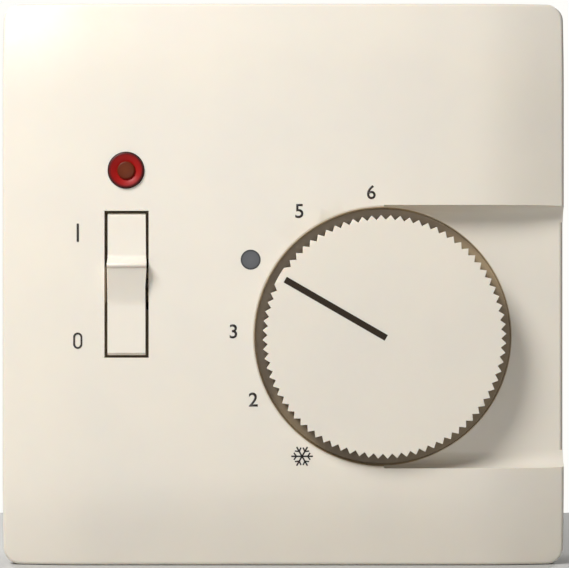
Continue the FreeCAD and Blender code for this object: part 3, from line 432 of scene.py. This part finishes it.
# ---------------------------------------------------------------- materials
class Finish:
    """A Principled material whose colour, gloss and relief vary over the piece."""

    def __init__(self, name, **sockets):
        self.material = bpy.data.materials.new(name)
        self.material.use_nodes = True
        self.tree = self.material.node_tree
        self.shader = self.tree.nodes["Principled BSDF"]
        for socket, value in sockets.items():
            self.shader.inputs[socket.replace("_", " ")].default_value = value
        self.place = self.tree.nodes.new("ShaderNodeTexCoord").outputs["Object"]

    def node(self, kind, **settings):
        made = self.tree.nodes.new("ShaderNode" + kind)
        for key, value in settings.items():
            setattr(made, key, value)
        return made

    def link(self, source, target):
        self.tree.links.new(source, target)

    def mapped(self, centre=(0, 0, 0), scale=(1, 1, 1)):
        """The object's own coordinates, moved and stretched."""
        mapping = self.node("Mapping")
        mapping.inputs["Location"].default_value = centre
        mapping.inputs["Scale"].default_value = scale
        self.link(self.place, mapping.inputs["Vector"])
        return mapping.outputs["Vector"]

    def from_axis(self, centre, radius):
        """Distance from an axis square to the face, 1 at the radius."""
        middle = Vector((centre.x, 0, centre.z))
        where = self.mapped(centre=-middle / radius, scale=(1 / radius, 0, 1 / radius))
        distance = self.node("VectorMath", operation="LENGTH")
        self.link(where, distance.inputs[0])
        return distance.outputs["Value"]

    def noise(self, scale, detail=3.0, rough=0.55, where=None):
        made = self.node("TexNoise")
        made.inputs["Scale"].default_value = scale
        made.inputs["Detail"].default_value = detail
        made.inputs["Roughness"].default_value = rough
        self.link(where or self.place, made.inputs["Vector"])
        return made.outputs["Fac"]

    def ramp(self, factor, *stops):
        """Colours at places along a factor."""
        made = self.node("ValToRGB")
        elements = made.color_ramp.elements
        while len(elements) < len(stops):
            elements.new(0.5)
        for element, (place, colour) in zip(elements, stops):
            element.position = place
            element.color = (*colour, 1.0)
        self.link(factor, made.inputs["Fac"])
        return made.outputs["Color"]

    def spread(self, factor, low, high):
        """A value from low to high as the factor goes from 0.3 to 0.7."""
        made = self.node("MapRange")
        made.inputs["From Min"].default_value = 0.3
        made.inputs["From Max"].default_value = 0.7
        made.inputs["To Min"].default_value = low
        made.inputs["To Max"].default_value = high
        self.link(factor, made.inputs["Value"])
        return made.outputs["Result"]

    def inside(self, centre, radius, colour, beyond):
        """One colour within the radius of an axis square to the face, and another beyond it."""
        reach = radius * 1.2
        step = self.node("MapRange", interpolation_type="SMOOTHSTEP")
        step.inputs["From Min"].default_value = radius / reach
        step.inputs["From Max"].default_value = (radius + CHANNEL_SHADE_EDGE) / reach
        self.link(self.from_axis(centre, reach), step.inputs["Value"])
        mix = self.node("Mix", data_type="RGBA")
        mix.inputs[6].default_value = (*colour, 1.0)
        self.link(step.outputs["Result"], mix.inputs[0])
        self.link(beyond, mix.inputs[7])
        return mix.outputs[2]

    def colour(self, output):
        self.link(output, self.shader.inputs["Base Color"])

    def roughness(self, output):
        self.link(output, self.shader.inputs["Roughness"])

    def relief(self, output, depth):
        bump = self.node("Bump")
        bump.inputs["Distance"].default_value = depth
        self.link(output, bump.inputs["Height"])
        self.link(bump.outputs["Normal"], self.shader.inputs["Normal"])


def shade(colour, factor):
    return tuple(min(1.0, channel * factor) for channel in colour)


def moulded_ivory(name, colour, rough, grain, depth, channel=None):
    """Moulded ivory plastic: slight mottling, a fine grain and, on the cover, painted shade that makes the
    channel round the dial darker and browner.
    """
    finish = Finish(
        name,
        IOR=1.5,
        Subsurface_Weight=0.25,
        Subsurface_Radius=(1.0, 0.55, 0.28),
        Subsurface_Scale=0.7 * MM,
    )
    mottling = finish.noise(70.0, detail=4.0)
    warm = (colour[0] * 1.01, colour[1], colour[2] * 0.97)
    tone = finish.ramp(mottling, (0.3, shade(colour, 0.975)), (0.7, shade(warm, 1.02)))
    # Painted shade: the cover turns darker and browner inside the channel round the dial, where the deep
    # gap lies in shade.
    if channel:
        tone = finish.inside(DIAL_CENTRE, CHANNEL_RADIUS, channel, tone)
    finish.colour(tone)
    fine = finish.noise(grain, detail=2.0, rough=0.5)
    finish.roughness(finish.spread(fine, rough - 0.05, rough + 0.06))
    finish.relief(fine, depth)
    return finish.material


def insert_plastic(name, colour, rough):
    """Plain engineering plastic of the insert: faint flow marks and a fine grain."""
    finish = Finish(name, IOR=1.5)
    flow = finish.noise(45.0, detail=5.0, where=finish.mapped(scale=(1.0, 1.0, 2.6)))
    finish.colour(finish.ramp(flow, (0.3, shade(colour, 0.93)), (0.7, shade(colour, 1.05))))
    fine = finish.noise(3200.0, detail=2.0)
    finish.roughness(finish.spread(fine, rough - 0.07, rough + 0.08))
    finish.relief(fine, 0.004 * MM)
    return finish.material


def zinc_plate(name, colour, stretch, rough):
    """Zinc-plated steel: rolled lines under a cloudy passivated film."""
    finish = Finish(name, Metallic=1.0)
    lines = finish.noise(900.0, detail=3.0, where=finish.mapped(scale=stretch))
    cloud = finish.noise(120.0, detail=4.0)
    tint = (colour[0] * 1.02, colour[1], colour[2] * 0.93)
    finish.colour(finish.ramp(cloud, (0.3, shade(colour, 0.86)), (0.5, tint), (0.7, shade(colour, 1.06))))
    finish.roughness(finish.spread(lines, rough - 0.08, rough + 0.1))
    finish.relief(lines, 0.003 * MM)
    return finish.material


def stamped_brass(name, colour):
    """Stamped brass with the faint tarnish it takes in a terminal."""
    finish = Finish(name, Metallic=1.0)
    tarnish = finish.noise(240.0, detail=5.0)
    bright = shade(colour, 1.1)
    finish.colour(finish.ramp(tarnish, (0.34, shade(colour, 0.68)), (0.52, colour), (0.75, bright)))
    finish.roughness(finish.spread(tarnish, 0.42, 0.24))
    finish.relief(finish.noise(2400.0), 0.003 * MM)
    return finish.material


def laminate_board(name, colour):
    """Resin-bonded paper board: mottled brown with fine fibres."""
    finish = Finish(name)
    fibres = finish.noise(700.0, detail=6.0, where=finish.mapped(scale=(1.0, 1.0, 4.0)))
    bright = shade(colour, 1.2)
    finish.colour(finish.ramp(fibres, (0.3, shade(colour, 0.78)), (0.55, colour), (0.75, bright)))
    finish.roughness(finish.spread(fibres, 0.34, 0.5))
    finish.relief(fibres, 0.004 * MM)
    return finish.material


def tinted_lens(name, centre, radius):
    """Clear red moulding with painted shade: darker and browner over its hollow core, and darker towards
    its rim.
    """
    finish = Finish(name, IOR=1.49, Transmission_Weight=0.06, Specular_IOR_Level=0.16)
    # Painted shade: the red is brown and dark over the hollow core and fades to near black at the rim.
    finish.colour(
        finish.ramp(
            finish.from_axis(centre, radius),
            (0.0, (0.14, 0.024, 0.002)),
            (0.47, (0.11, 0.016, 0.002)),
            (0.53, (0.36, 0.010, 0.008)),
            (0.82, (0.30, 0.006, 0.005)),
            (0.93, (0.10, 0.005, 0.005)),
            (1.0, (0.06, 0.004, 0.004)),
        )
    )
    finish.roughness(finish.spread(finish.noise(900.0, detail=2.0), 0.36, 0.46))
    return finish.material


def lamp_glass(name):
    """Thin clear glass, a little smoky from use."""
    finish = Finish(name, IOR=1.45, Transmission_Weight=0.8)
    smoke = finish.noise(600.0)
    finish.colour(finish.ramp(smoke, (0.3, (0.75, 0.6, 0.42)), (0.7, (0.95, 0.85, 0.7))))
    finish.roughness(finish.spread(smoke, 0.05, 0.15))
    return finish.material


def printed_ink(name, colour):
    """Pad-printed ink, thinner in specks."""
    finish = Finish(name)
    specks = finish.noise(5200.0, detail=2.0)
    finish.colour(finish.ramp(specks, (0.3, colour), (0.72, shade(colour, 1.9))))
    finish.roughness(finish.spread(specks, 0.4, 0.6))
    return finish.material


def printed_dot(name, centre, radius):
    """Grey printed dot with a darker ring of ink at its edge."""
    finish = Finish(name)
    finish.colour(
        finish.ramp(
            finish.from_axis(centre, radius),
            (0.0, (0.105, 0.108, 0.115)),
            (0.80, (0.085, 0.088, 0.095)),
            (0.9, (0.028, 0.028, 0.03)),
            (1.0, (0.024, 0.024, 0.026)),
        )
    )
    finish.roughness(finish.spread(finish.noise(5200.0), 0.4, 0.6))
    return finish.material


# ---------------------------------------------------------------- pieces
class ThermostatOperator(bpy.types.Operator):
    """Common options of the thermostat's operators"""

    bl_options = {"REGISTER", "UNDO"}


class THERMOSTAT_OT_cover(ThermostatOperator):
    """Smooths the moulded cover plate and gives it its ivory finish"""

    bl_idname = "thermostat.cover"
    bl_label = "Cover plate"

    def execute(self, context):
        look = context.scene.thermostat_cover
        shell = merged_copy("cover_plate", "cover_shell")
        soften(shell, look.soften)
        ivory = moulded_ivory("cover_ivory", look.ivory, look.gloss, *COVER_GRAIN, look.channel)
        hand_over(shell, "base", "ivory_plastic", ivory, "cover_plate")
        return {"FINISHED"}


def around_dial(angle, radius):
    """A point on the cover face at an angle and radius about the dial."""
    turn = math.radians(angle)
    across, up = radius * math.cos(turn), radius * math.sin(turn)
    return Vector((DIAL_CENTRE.x + across, FACE_Y, DIAL_CENTRE.z + up))


def text_mark(name, text, height, place, ink_depth):
    """A numeral laid on the cover face and centred on its place."""
    rest()
    bpy.ops.object.text_add(location=(0, 0, 0))
    mark = bpy.context.object
    mark.name = name
    mark.data.body = text
    mark.data.size = 1.0
    mark.data.resolution_u = 10
    mark.data.offset = NUMERAL_WEIGHT
    bpy.ops.object.convert(target="MESH")
    mark = bpy.context.object
    low = Vector(min(v.co[i] for v in mark.data.vertices) for i in range(3))
    high = Vector(max(v.co[i] for v in mark.data.vertices) for i in range(3))
    size = height / (high.y - low.y)
    centre = (low + high) / 2 * size
    mark.scale = (size, size, size)
    mark.rotation_euler = (math.radians(90), 0, 0)
    mark.location = (place.x - centre.x, place.y - ink_depth, place.z - centre.y)
    settle(mark)
    thicken(mark, ink_depth * 2)
    return mark


def thicken(mark, depth):
    """Gives a flat mark its thickness, back into the cover."""
    open_mesh(mark)
    bpy.ops.mesh.select_all(action="SELECT")
    bpy.ops.mesh.remove_doubles(threshold=0.1e-6)
    bpy.ops.mesh.extrude_region_move(TRANSFORM_OT_translate={"value": (0, depth, 0)})
    close_mesh(mark)


def stroke(name, start, end, width, ink_depth):
    """A straight printed stroke between two points of the face, with rounded ends."""
    along = end - start
    rest()
    bpy.ops.mesh.primitive_plane_add(size=1, location=(start + end) / 2, rotation=UPRIGHT)
    mark = bpy.context.object
    mark.name = name
    mark.scale = (along.length + width, width, 1)
    mark.rotation_euler = (math.radians(90), -math.atan2(along.z, along.x), 0)
    settle(mark)
    open_mesh(mark)
    bpy.ops.mesh.select_all(action="SELECT")
    bpy.ops.mesh.bevel(offset=width * 0.3, segments=3, affect="VERTICES")
    bpy.ops.mesh.select_all(action="SELECT")
    bpy.ops.transform.translate(value=(0, -ink_depth, 0))
    bpy.ops.object.mode_set(mode="OBJECT")
    thicken(mark, ink_depth * 2)
    return mark


def join(name, pieces):
    pick(pieces[0])
    for piece in pieces:
        piece.select_set(True)
    bpy.ops.object.join()
    joined = bpy.context.object
    joined.name = name
    joined.data.name = name
    return joined


class THERMOSTAT_OT_marks(ThermostatOperator):
    """Prints the numerals, the usual-setting dot, the frost mark and the switch marks"""

    bl_idname = "thermostat.marks"
    bl_label = "Printed marks"

    def execute(self, context):
        look = context.scene.thermostat_marks
        depth = look.ink_depth
        ink = printed_ink("mark_ink", look.ink)
        for text, angle, distance in NUMERALS:
            place = around_dial(angle, distance * MM)
            numeral = text_mark("numeral_" + text, text, look.numeral_height, place, depth)
            hand_over(numeral, "base", "pointer_brown", ink)
        self.dot(around_dial(DOT_ANGLE, DOT_DISTANCE), look)
        self.frost(around_dial(FROST_ANGLE, FROST_DISTANCE), depth, ink)
        self.switch_marks(depth, ink)
        return {"FINISHED"}

    def dot(self, centre, look):
        rest()
        bpy.ops.mesh.primitive_circle_add(
            vertices=64, radius=look.dot_radius, fill_type="NGON",
            location=centre + Vector((0, -look.ink_depth, 0)), rotation=UPRIGHT,
        )
        dot = bpy.context.object
        dot.name = "setting_dot"
        settle(dot)
        open_mesh(dot)
        bpy.ops.mesh.select_all(action="SELECT")
        bpy.ops.mesh.inset(thickness=look.dot_radius * 0.12)
        bpy.ops.object.mode_set(mode="OBJECT")
        thicken(dot, look.ink_depth * 2)
        material = printed_dot("dot_ink", Vector((centre.x, 0, centre.z)), look.dot_radius)
        hand_over(dot, "base", "pointer_brown", material)

    def frost(self, centre, depth, ink):
        strokes = []
        for arm in range(6):
            turn = math.radians(60 * arm)
            out = Vector((math.cos(turn), 0, math.sin(turn)))
            strokes.append(stroke("arm", centre, centre + out * FROST_REACH, FROST_LINE, depth))
            fork = centre + out * FROST_REACH * FROST_FORK
            for side in (-1, 1):
                lean = turn + side * math.radians(FROST_LEAN)
                branch = Vector((math.cos(lean), 0, math.sin(lean))) * FROST_REACH * FROST_BRANCH
                strokes.append(stroke("branch", fork, fork + branch, FROST_LINE * FROST_THIN, depth))
        hand_over(join("frost_mark", strokes), "base", "pointer_brown", ink)

    def switch_marks(self, depth, ink):
        foot = Vector((SWITCH_MARK_X, FACE_Y, SWITCH_ON_Z - SWITCH_ON_HALF))
        head = Vector((SWITCH_MARK_X, FACE_Y, SWITCH_ON_Z + SWITCH_ON_HALF))
        on = stroke("switch_mark_on", foot, head, SWITCH_ON_LINE, depth)
        hand_over(on, "base", "pointer_brown", ink)
        rest()
        middle = (SWITCH_MARK_X, FACE_Y - depth, SWITCH_OFF_Z)
        bpy.ops.mesh.primitive_circle_add(
            vertices=48, radius=SWITCH_OFF_RADIUS, location=middle, rotation=UPRIGHT,
        )
        off = bpy.context.object
        off.name = "switch_mark_off"
        settle(off)
        open_mesh(off)
        choose(off, "VERT", lambda v: v.co.z > SWITCH_OFF_Z)
        bpy.ops.transform.translate(value=(0, 0, SWITCH_OFF_STRAIGHT))
        choose(off, "VERT", lambda v: v.co.z <= SWITCH_OFF_Z)
        bpy.ops.transform.translate(value=(0, 0, -SWITCH_OFF_STRAIGHT))
        bpy.ops.mesh.select_all(action="SELECT")
        bpy.ops.mesh.extrude_edges_move()
        bpy.ops.transform.resize(value=(0.6, 1, 0.78), center_override=middle)
        bpy.ops.object.mode_set(mode="OBJECT")
        thicken(off, depth * 2)
        hand_over(off, "base", "pointer_brown", ink)


class THERMOSTAT_OT_dial(ThermostatOperator):
    """Rounds the toothed rim of the dial knob and finishes the dial and its pointer"""

    bl_idname = "thermostat.dial"
    bl_label = "Setting dial"

    def execute(self, context):
        look = context.scene.thermostat_dial
        cover = context.scene.thermostat_cover
        knob = merged_copy("dial_knob", "dial_face")
        bevel_all(knob, look.edge, 2, math.radians(60))
        soften(knob, math.radians(35))
        ivory = moulded_ivory("dial_matt_ivory", shade(cover.ivory, 1.01), look.gloss, *DIAL_GRAIN)
        hand_over(knob, "dial", "ivory_matt_plastic", ivory, "dial_knob")
        pointer = Finish("pointer_brown_ink", IOR=1.5, Specular_IOR_Level=0.2)
        specks = pointer.noise(2600.0)
        pointer.colour(pointer.ramp(specks, (0.3, (0.014, 0.007, 0.002)), (0.7, (0.030, 0.017, 0.006))))
        pointer.roughness(pointer.spread(specks, 0.35, 0.5))
        dress(pointer.material, "pointer_inlay")
        return {"FINISHED"}


class THERMOSTAT_OT_rocker(ThermostatOperator):
    """Shapes the rocker key's rounded outline and the bow beside its crest"""

    bl_idname = "thermostat.rocker"
    bl_label = "Rocker key"

    def execute(self, context):
        look = context.scene.thermostat_rocker
        cover = context.scene.thermostat_cover
        key = merged_copy("rocker_key", "rocker_face")
        open_mesh(key)
        crest_y = KEY_LOW.y + 0.25 * MM
        right_x = KEY_HIGH.x - 0.01 * MM
        if not choose(key, "VERT", lambda v: v.co.y < crest_y and v.co.x > right_x):
            raise RuntimeError("The rocker key has no crest to bow")
        bpy.ops.transform.translate(
            value=(look.bow, 0, 0),
            use_proportional_edit=True,
            proportional_edit_falloff="SMOOTH",
            proportional_size=look.bow_reach,
        )
        bpy.ops.object.mode_set(mode="OBJECT")
        bevel_all(key, look.edge, 3, math.radians(60))
        soften(key, math.radians(30))
        ivory = moulded_ivory("key_ivory", shade(cover.ivory, 1.02), 0.34, *KEY_GRAIN)
        hand_over(key, "rocker", "ivory_plastic", ivory, "rocker_key")
        return {"FINISHED"}


class THERMOSTAT_OT_lens(ThermostatOperator):
    """Finishes the red indicator lens and the lamp behind it"""

    bl_idname = "thermostat.lens"
    bl_label = "Indicator"

    def execute(self, context):
        look = context.scene.thermostat_lens
        rest()
        bpy.ops.mesh.primitive_cylinder_add(
            vertices=96, radius=LENS_FLANGE_RADIUS, depth=LENS_FLANGE_FRONT - LENS_FLANGE_BACK,
            end_fill_type="NGON", rotation=UPRIGHT,
            location=(LENS_CENTRE.x, -(LENS_FLANGE_FRONT + LENS_FLANGE_BACK) / 2, LENS_CENTRE.z),
        )
        lens = bpy.context.object
        lens.name = "lens_dish"
        lens.data.name = "lens_dish"
        settle(lens)
        open_mesh(lens)
        self.end_face(lens, -LENS_FLANGE_FRONT)
        bpy.ops.mesh.inset(thickness=LENS_FLANGE_RADIUS - LENS_RADIUS)
        self.draw_out(LENS_LOW.y + look.edge + LENS_FLANGE_FRONT)
        bpy.ops.mesh.inset(thickness=look.edge * 0.3, depth=look.edge * 0.7)
        bpy.ops.mesh.inset(thickness=look.edge * 0.7, depth=look.edge * 0.3)
        bpy.ops.mesh.inset(thickness=look.rim)
        bpy.ops.mesh.inset(thickness=LENS_RADIUS - look.edge - look.rim - look.core, depth=-look.dish)
        bpy.ops.mesh.inset(thickness=0.02 * MM, depth=look.dish * 0.5)
        for inward, forward in LENS_PIP_STEPS:
            bpy.ops.mesh.inset(thickness=inward * MM, depth=forward * MM)
        self.end_face(lens, -LENS_FLANGE_BACK)
        bpy.ops.mesh.inset(thickness=LENS_FLANGE_RADIUS - look.core - LENS_STEM_WALL)
        self.draw_out(LENS_HIGH.y + LENS_FLANGE_BACK)
        bpy.ops.mesh.inset(thickness=LENS_STEM_WALL)
        self.draw_out(LENS_LOW.y + look.dish + LENS_CORE_WALL - LENS_HIGH.y)
        close_mesh(lens)
        soften(lens, math.radians(40), weighted=False)
        red = tinted_lens("lens_red", LENS_CENTRE, LENS_RADIUS)
        hand_over(lens, "base", "red_lens", red, "indicator_lens")
        dress(lamp_glass("lamp_glass_smoky"), "neon_lamp")
        return {"FINISHED"}

    def end_face(self, lens, place):
        """Selects the flat end of the turned lens at a place along its axis."""
        near = 0.005 * MM

        def is_end(face):
            return abs(face.normal.y) > 0.99 and abs(face.calc_center_median().y - place) < near

        if choose(lens, "FACE", is_end) != 1:
            raise RuntimeError("The lens has no single flat end there")

    def draw_out(self, distance):
        """Extrudes the selected end along the lens axis."""
        bpy.ops.mesh.extrude_region_move(TRANSFORM_OT_translate={"value": (0, distance, 0)})


def coil(name, radius, wire, length, turns, tilt, middle):
    """A closed round-wire compression coil whose axis starts upright and is then tilted."""
    rest()
    bpy.ops.mesh.primitive_circle_add(
        vertices=10, radius=wire / 2, location=(radius - wire / 2, 0, 0), rotation=UPRIGHT,
    )
    wound = bpy.context.object
    wound.name = name
    wound.data.name = name
    settle(wound)
    bpy.ops.object.modifier_add(type="SCREW")
    screw = wound.modifiers[-1]
    screw.angle = math.radians(360) * turns
    screw.screw_offset = length - wire
    screw.steps = screw.render_steps = 24 * turns
    screw.use_merge_vertices = False
    bpy.ops.object.modifier_apply(modifier=screw.name)
    open_mesh(wound)
    choose(wound, "EDGE", lambda edge: edge.is_boundary)
    bpy.ops.mesh.fill()
    close_mesh(wound, merge=0.05e-6)
    wound.location = (0, 0, -(length - wire) / 2)
    settle(wound)
    wound.rotation_euler = tilt
    wound.location = middle
    settle(wound)
    soften(wound, math.radians(60), weighted=False)
    return wound


class THERMOSTAT_OT_springs(ThermostatOperator):
    """Winds the rocker's plunger spring and the lever's return spring"""

    bl_idname = "thermostat.springs"
    bl_label = "Springs"

    def execute(self, context):
        look = context.scene.thermostat_springs
        steel = zinc_plate("spring_steel", (0.58, 0.58, 0.59), (1.0, 1.0, 1.0), 0.24)
        low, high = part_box("rocker_spring")
        lean = math.radians(KEY_LEAN)
        radius = (high.x - low.x) / 2
        middle = (low + high) / 2
        tilt = (math.radians(90) - lean, 0, 0)
        spring = coil(
            "rocker_coil", radius, look.rocker_wire, KEY_COIL_LENGTH, KEY_COIL_TURNS, tilt, middle
        )
        hand_over(spring, "rocker", "spring_steel", steel, "rocker_spring")
        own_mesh(spring)
        low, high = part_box("lever_return_spring")
        radius = (high.z - low.z) / 2
        middle = (low + high) / 2
        length = high.x - low.x
        lying = (0, math.radians(90), 0)
        spring = coil("lever_coil", radius, look.return_wire, length, RETURN_COIL_TURNS, lying, middle)
        hand_over(spring, "base", "spring_steel", steel, "lever_return_spring")
        return {"FINISHED"}


class THERMOSTAT_OT_insert(ThermostatOperator):
    """Finishes the support plate, the cup, the housings and the mechanism"""

    bl_idname = "thermostat.insert"
    bl_label = "Insert and mechanism"

    def execute(self, context):
        dress(zinc_plate("plate_yellow_zinc", (0.60, 0.49, 0.29), (1.0, 1.0, 0.06), 0.4), "support_plate")
        dress(zinc_plate("bracket_zinc", (0.60, 0.61, 0.62), (0.08, 1.0, 1.0), 0.34),
              "mechanism_bracket", "bimetal_clamp", "armature", "magnet_yoke")
        dress(zinc_plate("screw_zinc", (0.66, 0.65, 0.60), (1.0, 1.0, 1.0), 0.3),
              "cover_screw", "housing_screws", "terminal_screws", "lever_pivot_pin")
        # Painted shade: the key's pivot pin is near black so that, where it shows in the gap beside the
        # key, it reads as shade.
        dress(zinc_plate("pin_dark_painted_shade", (0.09, 0.08, 0.07), (0.1, 1.0, 1.0), 0.5), "rocker_pivot_pin")
        dress(zinc_plate("spring_bright", (0.55, 0.55, 0.56), (1.0, 1.0, 0.2), 0.26),
              "friction_washer", "spindle_retaining_ring", "lever_pivot_clip")
        dress(zinc_plate("bimetal_rolled", (0.66, 0.60, 0.50), (1.0, 1.0, 0.05), 0.3), "bimetal_strip")
        dress(zinc_plate("contact_silver", (0.82, 0.82, 0.80), (1.0, 1.0, 1.0), 0.2),
              "moving_contact", "fixed_contact", "bridge_contact")
        dress(stamped_brass("brass_stamped", (0.62, 0.44, 0.15)),
              "terminal_blocks", "calibration_screw", "fixed_contact_blade",
              "contact_bridge", "bridge_support", "switch_fixed_contact")
        dress(insert_plastic("housing_grey", (0.50, 0.50, 0.47), 0.48), "rear_housing")
        # Painted shade: the front housing is coloured tan so that, seen through the deep gaps round the
        # dial and the key, it reads as the brown shade there.
        dress(insert_plastic("housing_tan_painted_shade", (0.68, 0.53, 0.33), 0.5), "front_housing")
        dress(insert_plastic("mechanism_white", (0.74, 0.73, 0.70), 0.42),
              "setpoint_spindle", "setpoint_cam", "setpoint_lever", "rocker_plunger")
        dress(insert_plastic("limit_red", (0.42, 0.025, 0.02), 0.4), "limit_ring_max")
        dress(insert_plastic("limit_blue", (0.02, 0.07, 0.33), 0.4), "limit_ring_min")
        dress(insert_plastic("magnet_sintered", (0.035, 0.035, 0.038), 0.6), "magnet")
        dress(insert_plastic("capacitor_yellow", (0.58, 0.31, 0.02), 0.3), "suppression_capacitor")
        dress(insert_plastic("resistor_lacquer", (0.42, 0.31, 0.17), 0.28),
              "feedback_resistor", "lamp_resistor")
        dress(laminate_board("board_laminate", (0.27, 0.155, 0.055)), "circuit_board")
        return {"FINISHED"}


class THERMOSTAT_OT_stage(ThermostatOperator):
    """Sets the pale floor, the soft studio light and the camera straight in front"""

    bl_idname = "thermostat.stage"
    bl_label = "Stage"

    def execute(self, context):
        look = context.scene.thermostat_stage
        self.floor()
        self.lights(look)
        rest()
        bpy.ops.object.camera_add(location=(CAMERA_X, -look.distance, CAMERA_Z), rotation=UPRIGHT)
        camera = bpy.context.object
        camera.name = "front_camera"
        camera.data.lens = look.lens
        camera.data.sensor_width = 36.0
        camera.data.clip_start = 0.01
        camera.data.clip_end = 20.0
        context.scene.camera = camera
        context.scene.view_settings.view_transform = "Standard"
        return {"FINISHED"}

    def floor(self):
        rest()
        below = CAD_BOX[0][2] - FLOOR_GAP
        bpy.ops.mesh.primitive_plane_add(size=FLOOR_SIZE, location=(0, FLOOR_MIDDLE_Y, below))
        floor = bpy.context.object
        floor.name = "studio_floor"
        settle(floor)
        pale = Finish("floor_pale", Roughness=0.7)
        cloud = pale.noise(3.0)
        pale.colour(pale.ramp(cloud, (0.3, (0.44, 0.435, 0.42)), (0.7, (0.47, 0.465, 0.45))))
        floor.data.materials.append(pale.material)

    def soft_light(self, name, place, size, power, aim=(0, 0, 0), spread=180):
        """A round white soft light turned towards its aim."""
        rest()
        turn = (Vector(aim) - Vector(place)).to_track_quat("-Z", "Y").to_euler()
        bpy.ops.object.light_add(type="AREA", location=place, rotation=turn)
        lamp = bpy.context.object
        lamp.name = name
        lamp.data.shape = "DISK"
        lamp.data.size = size
        lamp.data.energy = power
        lamp.data.spread = math.radians(spread)
        lamp.visible_camera = False

    def lights(self, look):
        self.soft_light("key_light", *KEY_LIGHT, look.key_light)
        self.soft_light("front_light", *FRONT_LIGHT, look.front_light)
        for name, side in (("back_light_left", -1), ("back_light_right", 1)):
            place = (side * BACK_LIGHT[0], *BACK_LIGHT[1:])
            self.soft_light(
                name, place, BACK_LIGHT_SIZE, look.back_light, BACK_LIGHT_AIM, BACK_LIGHT_SPREAD
            )
        world = bpy.data.worlds.new("studio")
        bpy.context.scene.world = world
        world.use_nodes = True
        tree = world.node_tree
        tree.nodes.clear()
        out = tree.nodes.new("ShaderNodeOutputWorld")
        mix = tree.nodes.new("ShaderNodeMixShader")
        seen = tree.nodes.new("ShaderNodeBackground")
        seen.inputs["Color"].default_value = (1.0, 0.995, 0.96, 1)
        seen.inputs["Strength"].default_value = BACKDROP_STRENGTH
        light = tree.nodes.new("ShaderNodeBackground")
        light.inputs["Color"].default_value = (1.0, 0.99, 0.96, 1)
        light.inputs["Strength"].default_value = look.fill
        path = tree.nodes.new("ShaderNodeLightPath")
        tree.links.new(path.outputs["Is Camera Ray"], mix.inputs["Fac"])
        tree.links.new(light.outputs["Background"], mix.inputs[1])
        tree.links.new(seen.outputs["Background"], mix.inputs[2])
        tree.links.new(mix.outputs["Shader"], out.inputs["Surface"])


STEPS = (
    THERMOSTAT_OT_cover,
    THERMOSTAT_OT_marks,
    THERMOSTAT_OT_dial,
    THERMOSTAT_OT_rocker,
    THERMOSTAT_OT_lens,
    THERMOSTAT_OT_springs,
    THERMOSTAT_OT_insert,
    THERMOSTAT_OT_stage,
)

SETTINGS = {
    "thermostat_cover": CoverSettings,
    "thermostat_marks": MarkSettings,
    "thermostat_dial": DialSettings,
    "thermostat_rocker": RockerSettings,
    "thermostat_lens": LensSettings,
    "thermostat_springs": SpringSettings,
    "thermostat_stage": StageSettings,
}


class THERMOSTAT_PT_panel(bpy.types.Panel):
    """Lists the thermostat's pieces and their settings"""

    bl_idname = "THERMOSTAT_PT_panel"
    bl_label = "Wall thermostat"
    bl_space_type = "VIEW_3D"
    bl_region_type = "UI"
    bl_category = "Thermostat"

    def draw(self, context):
        for step in STEPS:
            self.layout.operator(step.bl_idname)
        for name, group in SETTINGS.items():
            box = self.layout.box()
            for prop in group.__annotations__:
                box.prop(getattr(context.scene, name), prop)


def register():
    for name, group in SETTINGS.items():
        bpy.utils.register_class(group)
        setattr(bpy.types.Scene, name, bpy.props.PointerProperty(type=group))
    for step in STEPS:
        bpy.utils.register_class(step)
    bpy.utils.register_class(THERMOSTAT_PT_panel)


def unregister():
    bpy.utils.unregister_class(THERMOSTAT_PT_panel)
    for step in reversed(STEPS):
        bpy.utils.unregister_class(step)
    for name, group in SETTINGS.items():
        delattr(bpy.types.Scene, name)
        bpy.utils.unregister_class(group)


def main():
    register()
    for step in STEPS:
        area, name = step.bl_idname.split(".")
        getattr(getattr(bpy.ops, area), name)()


if __name__ == "__main__":
    main()
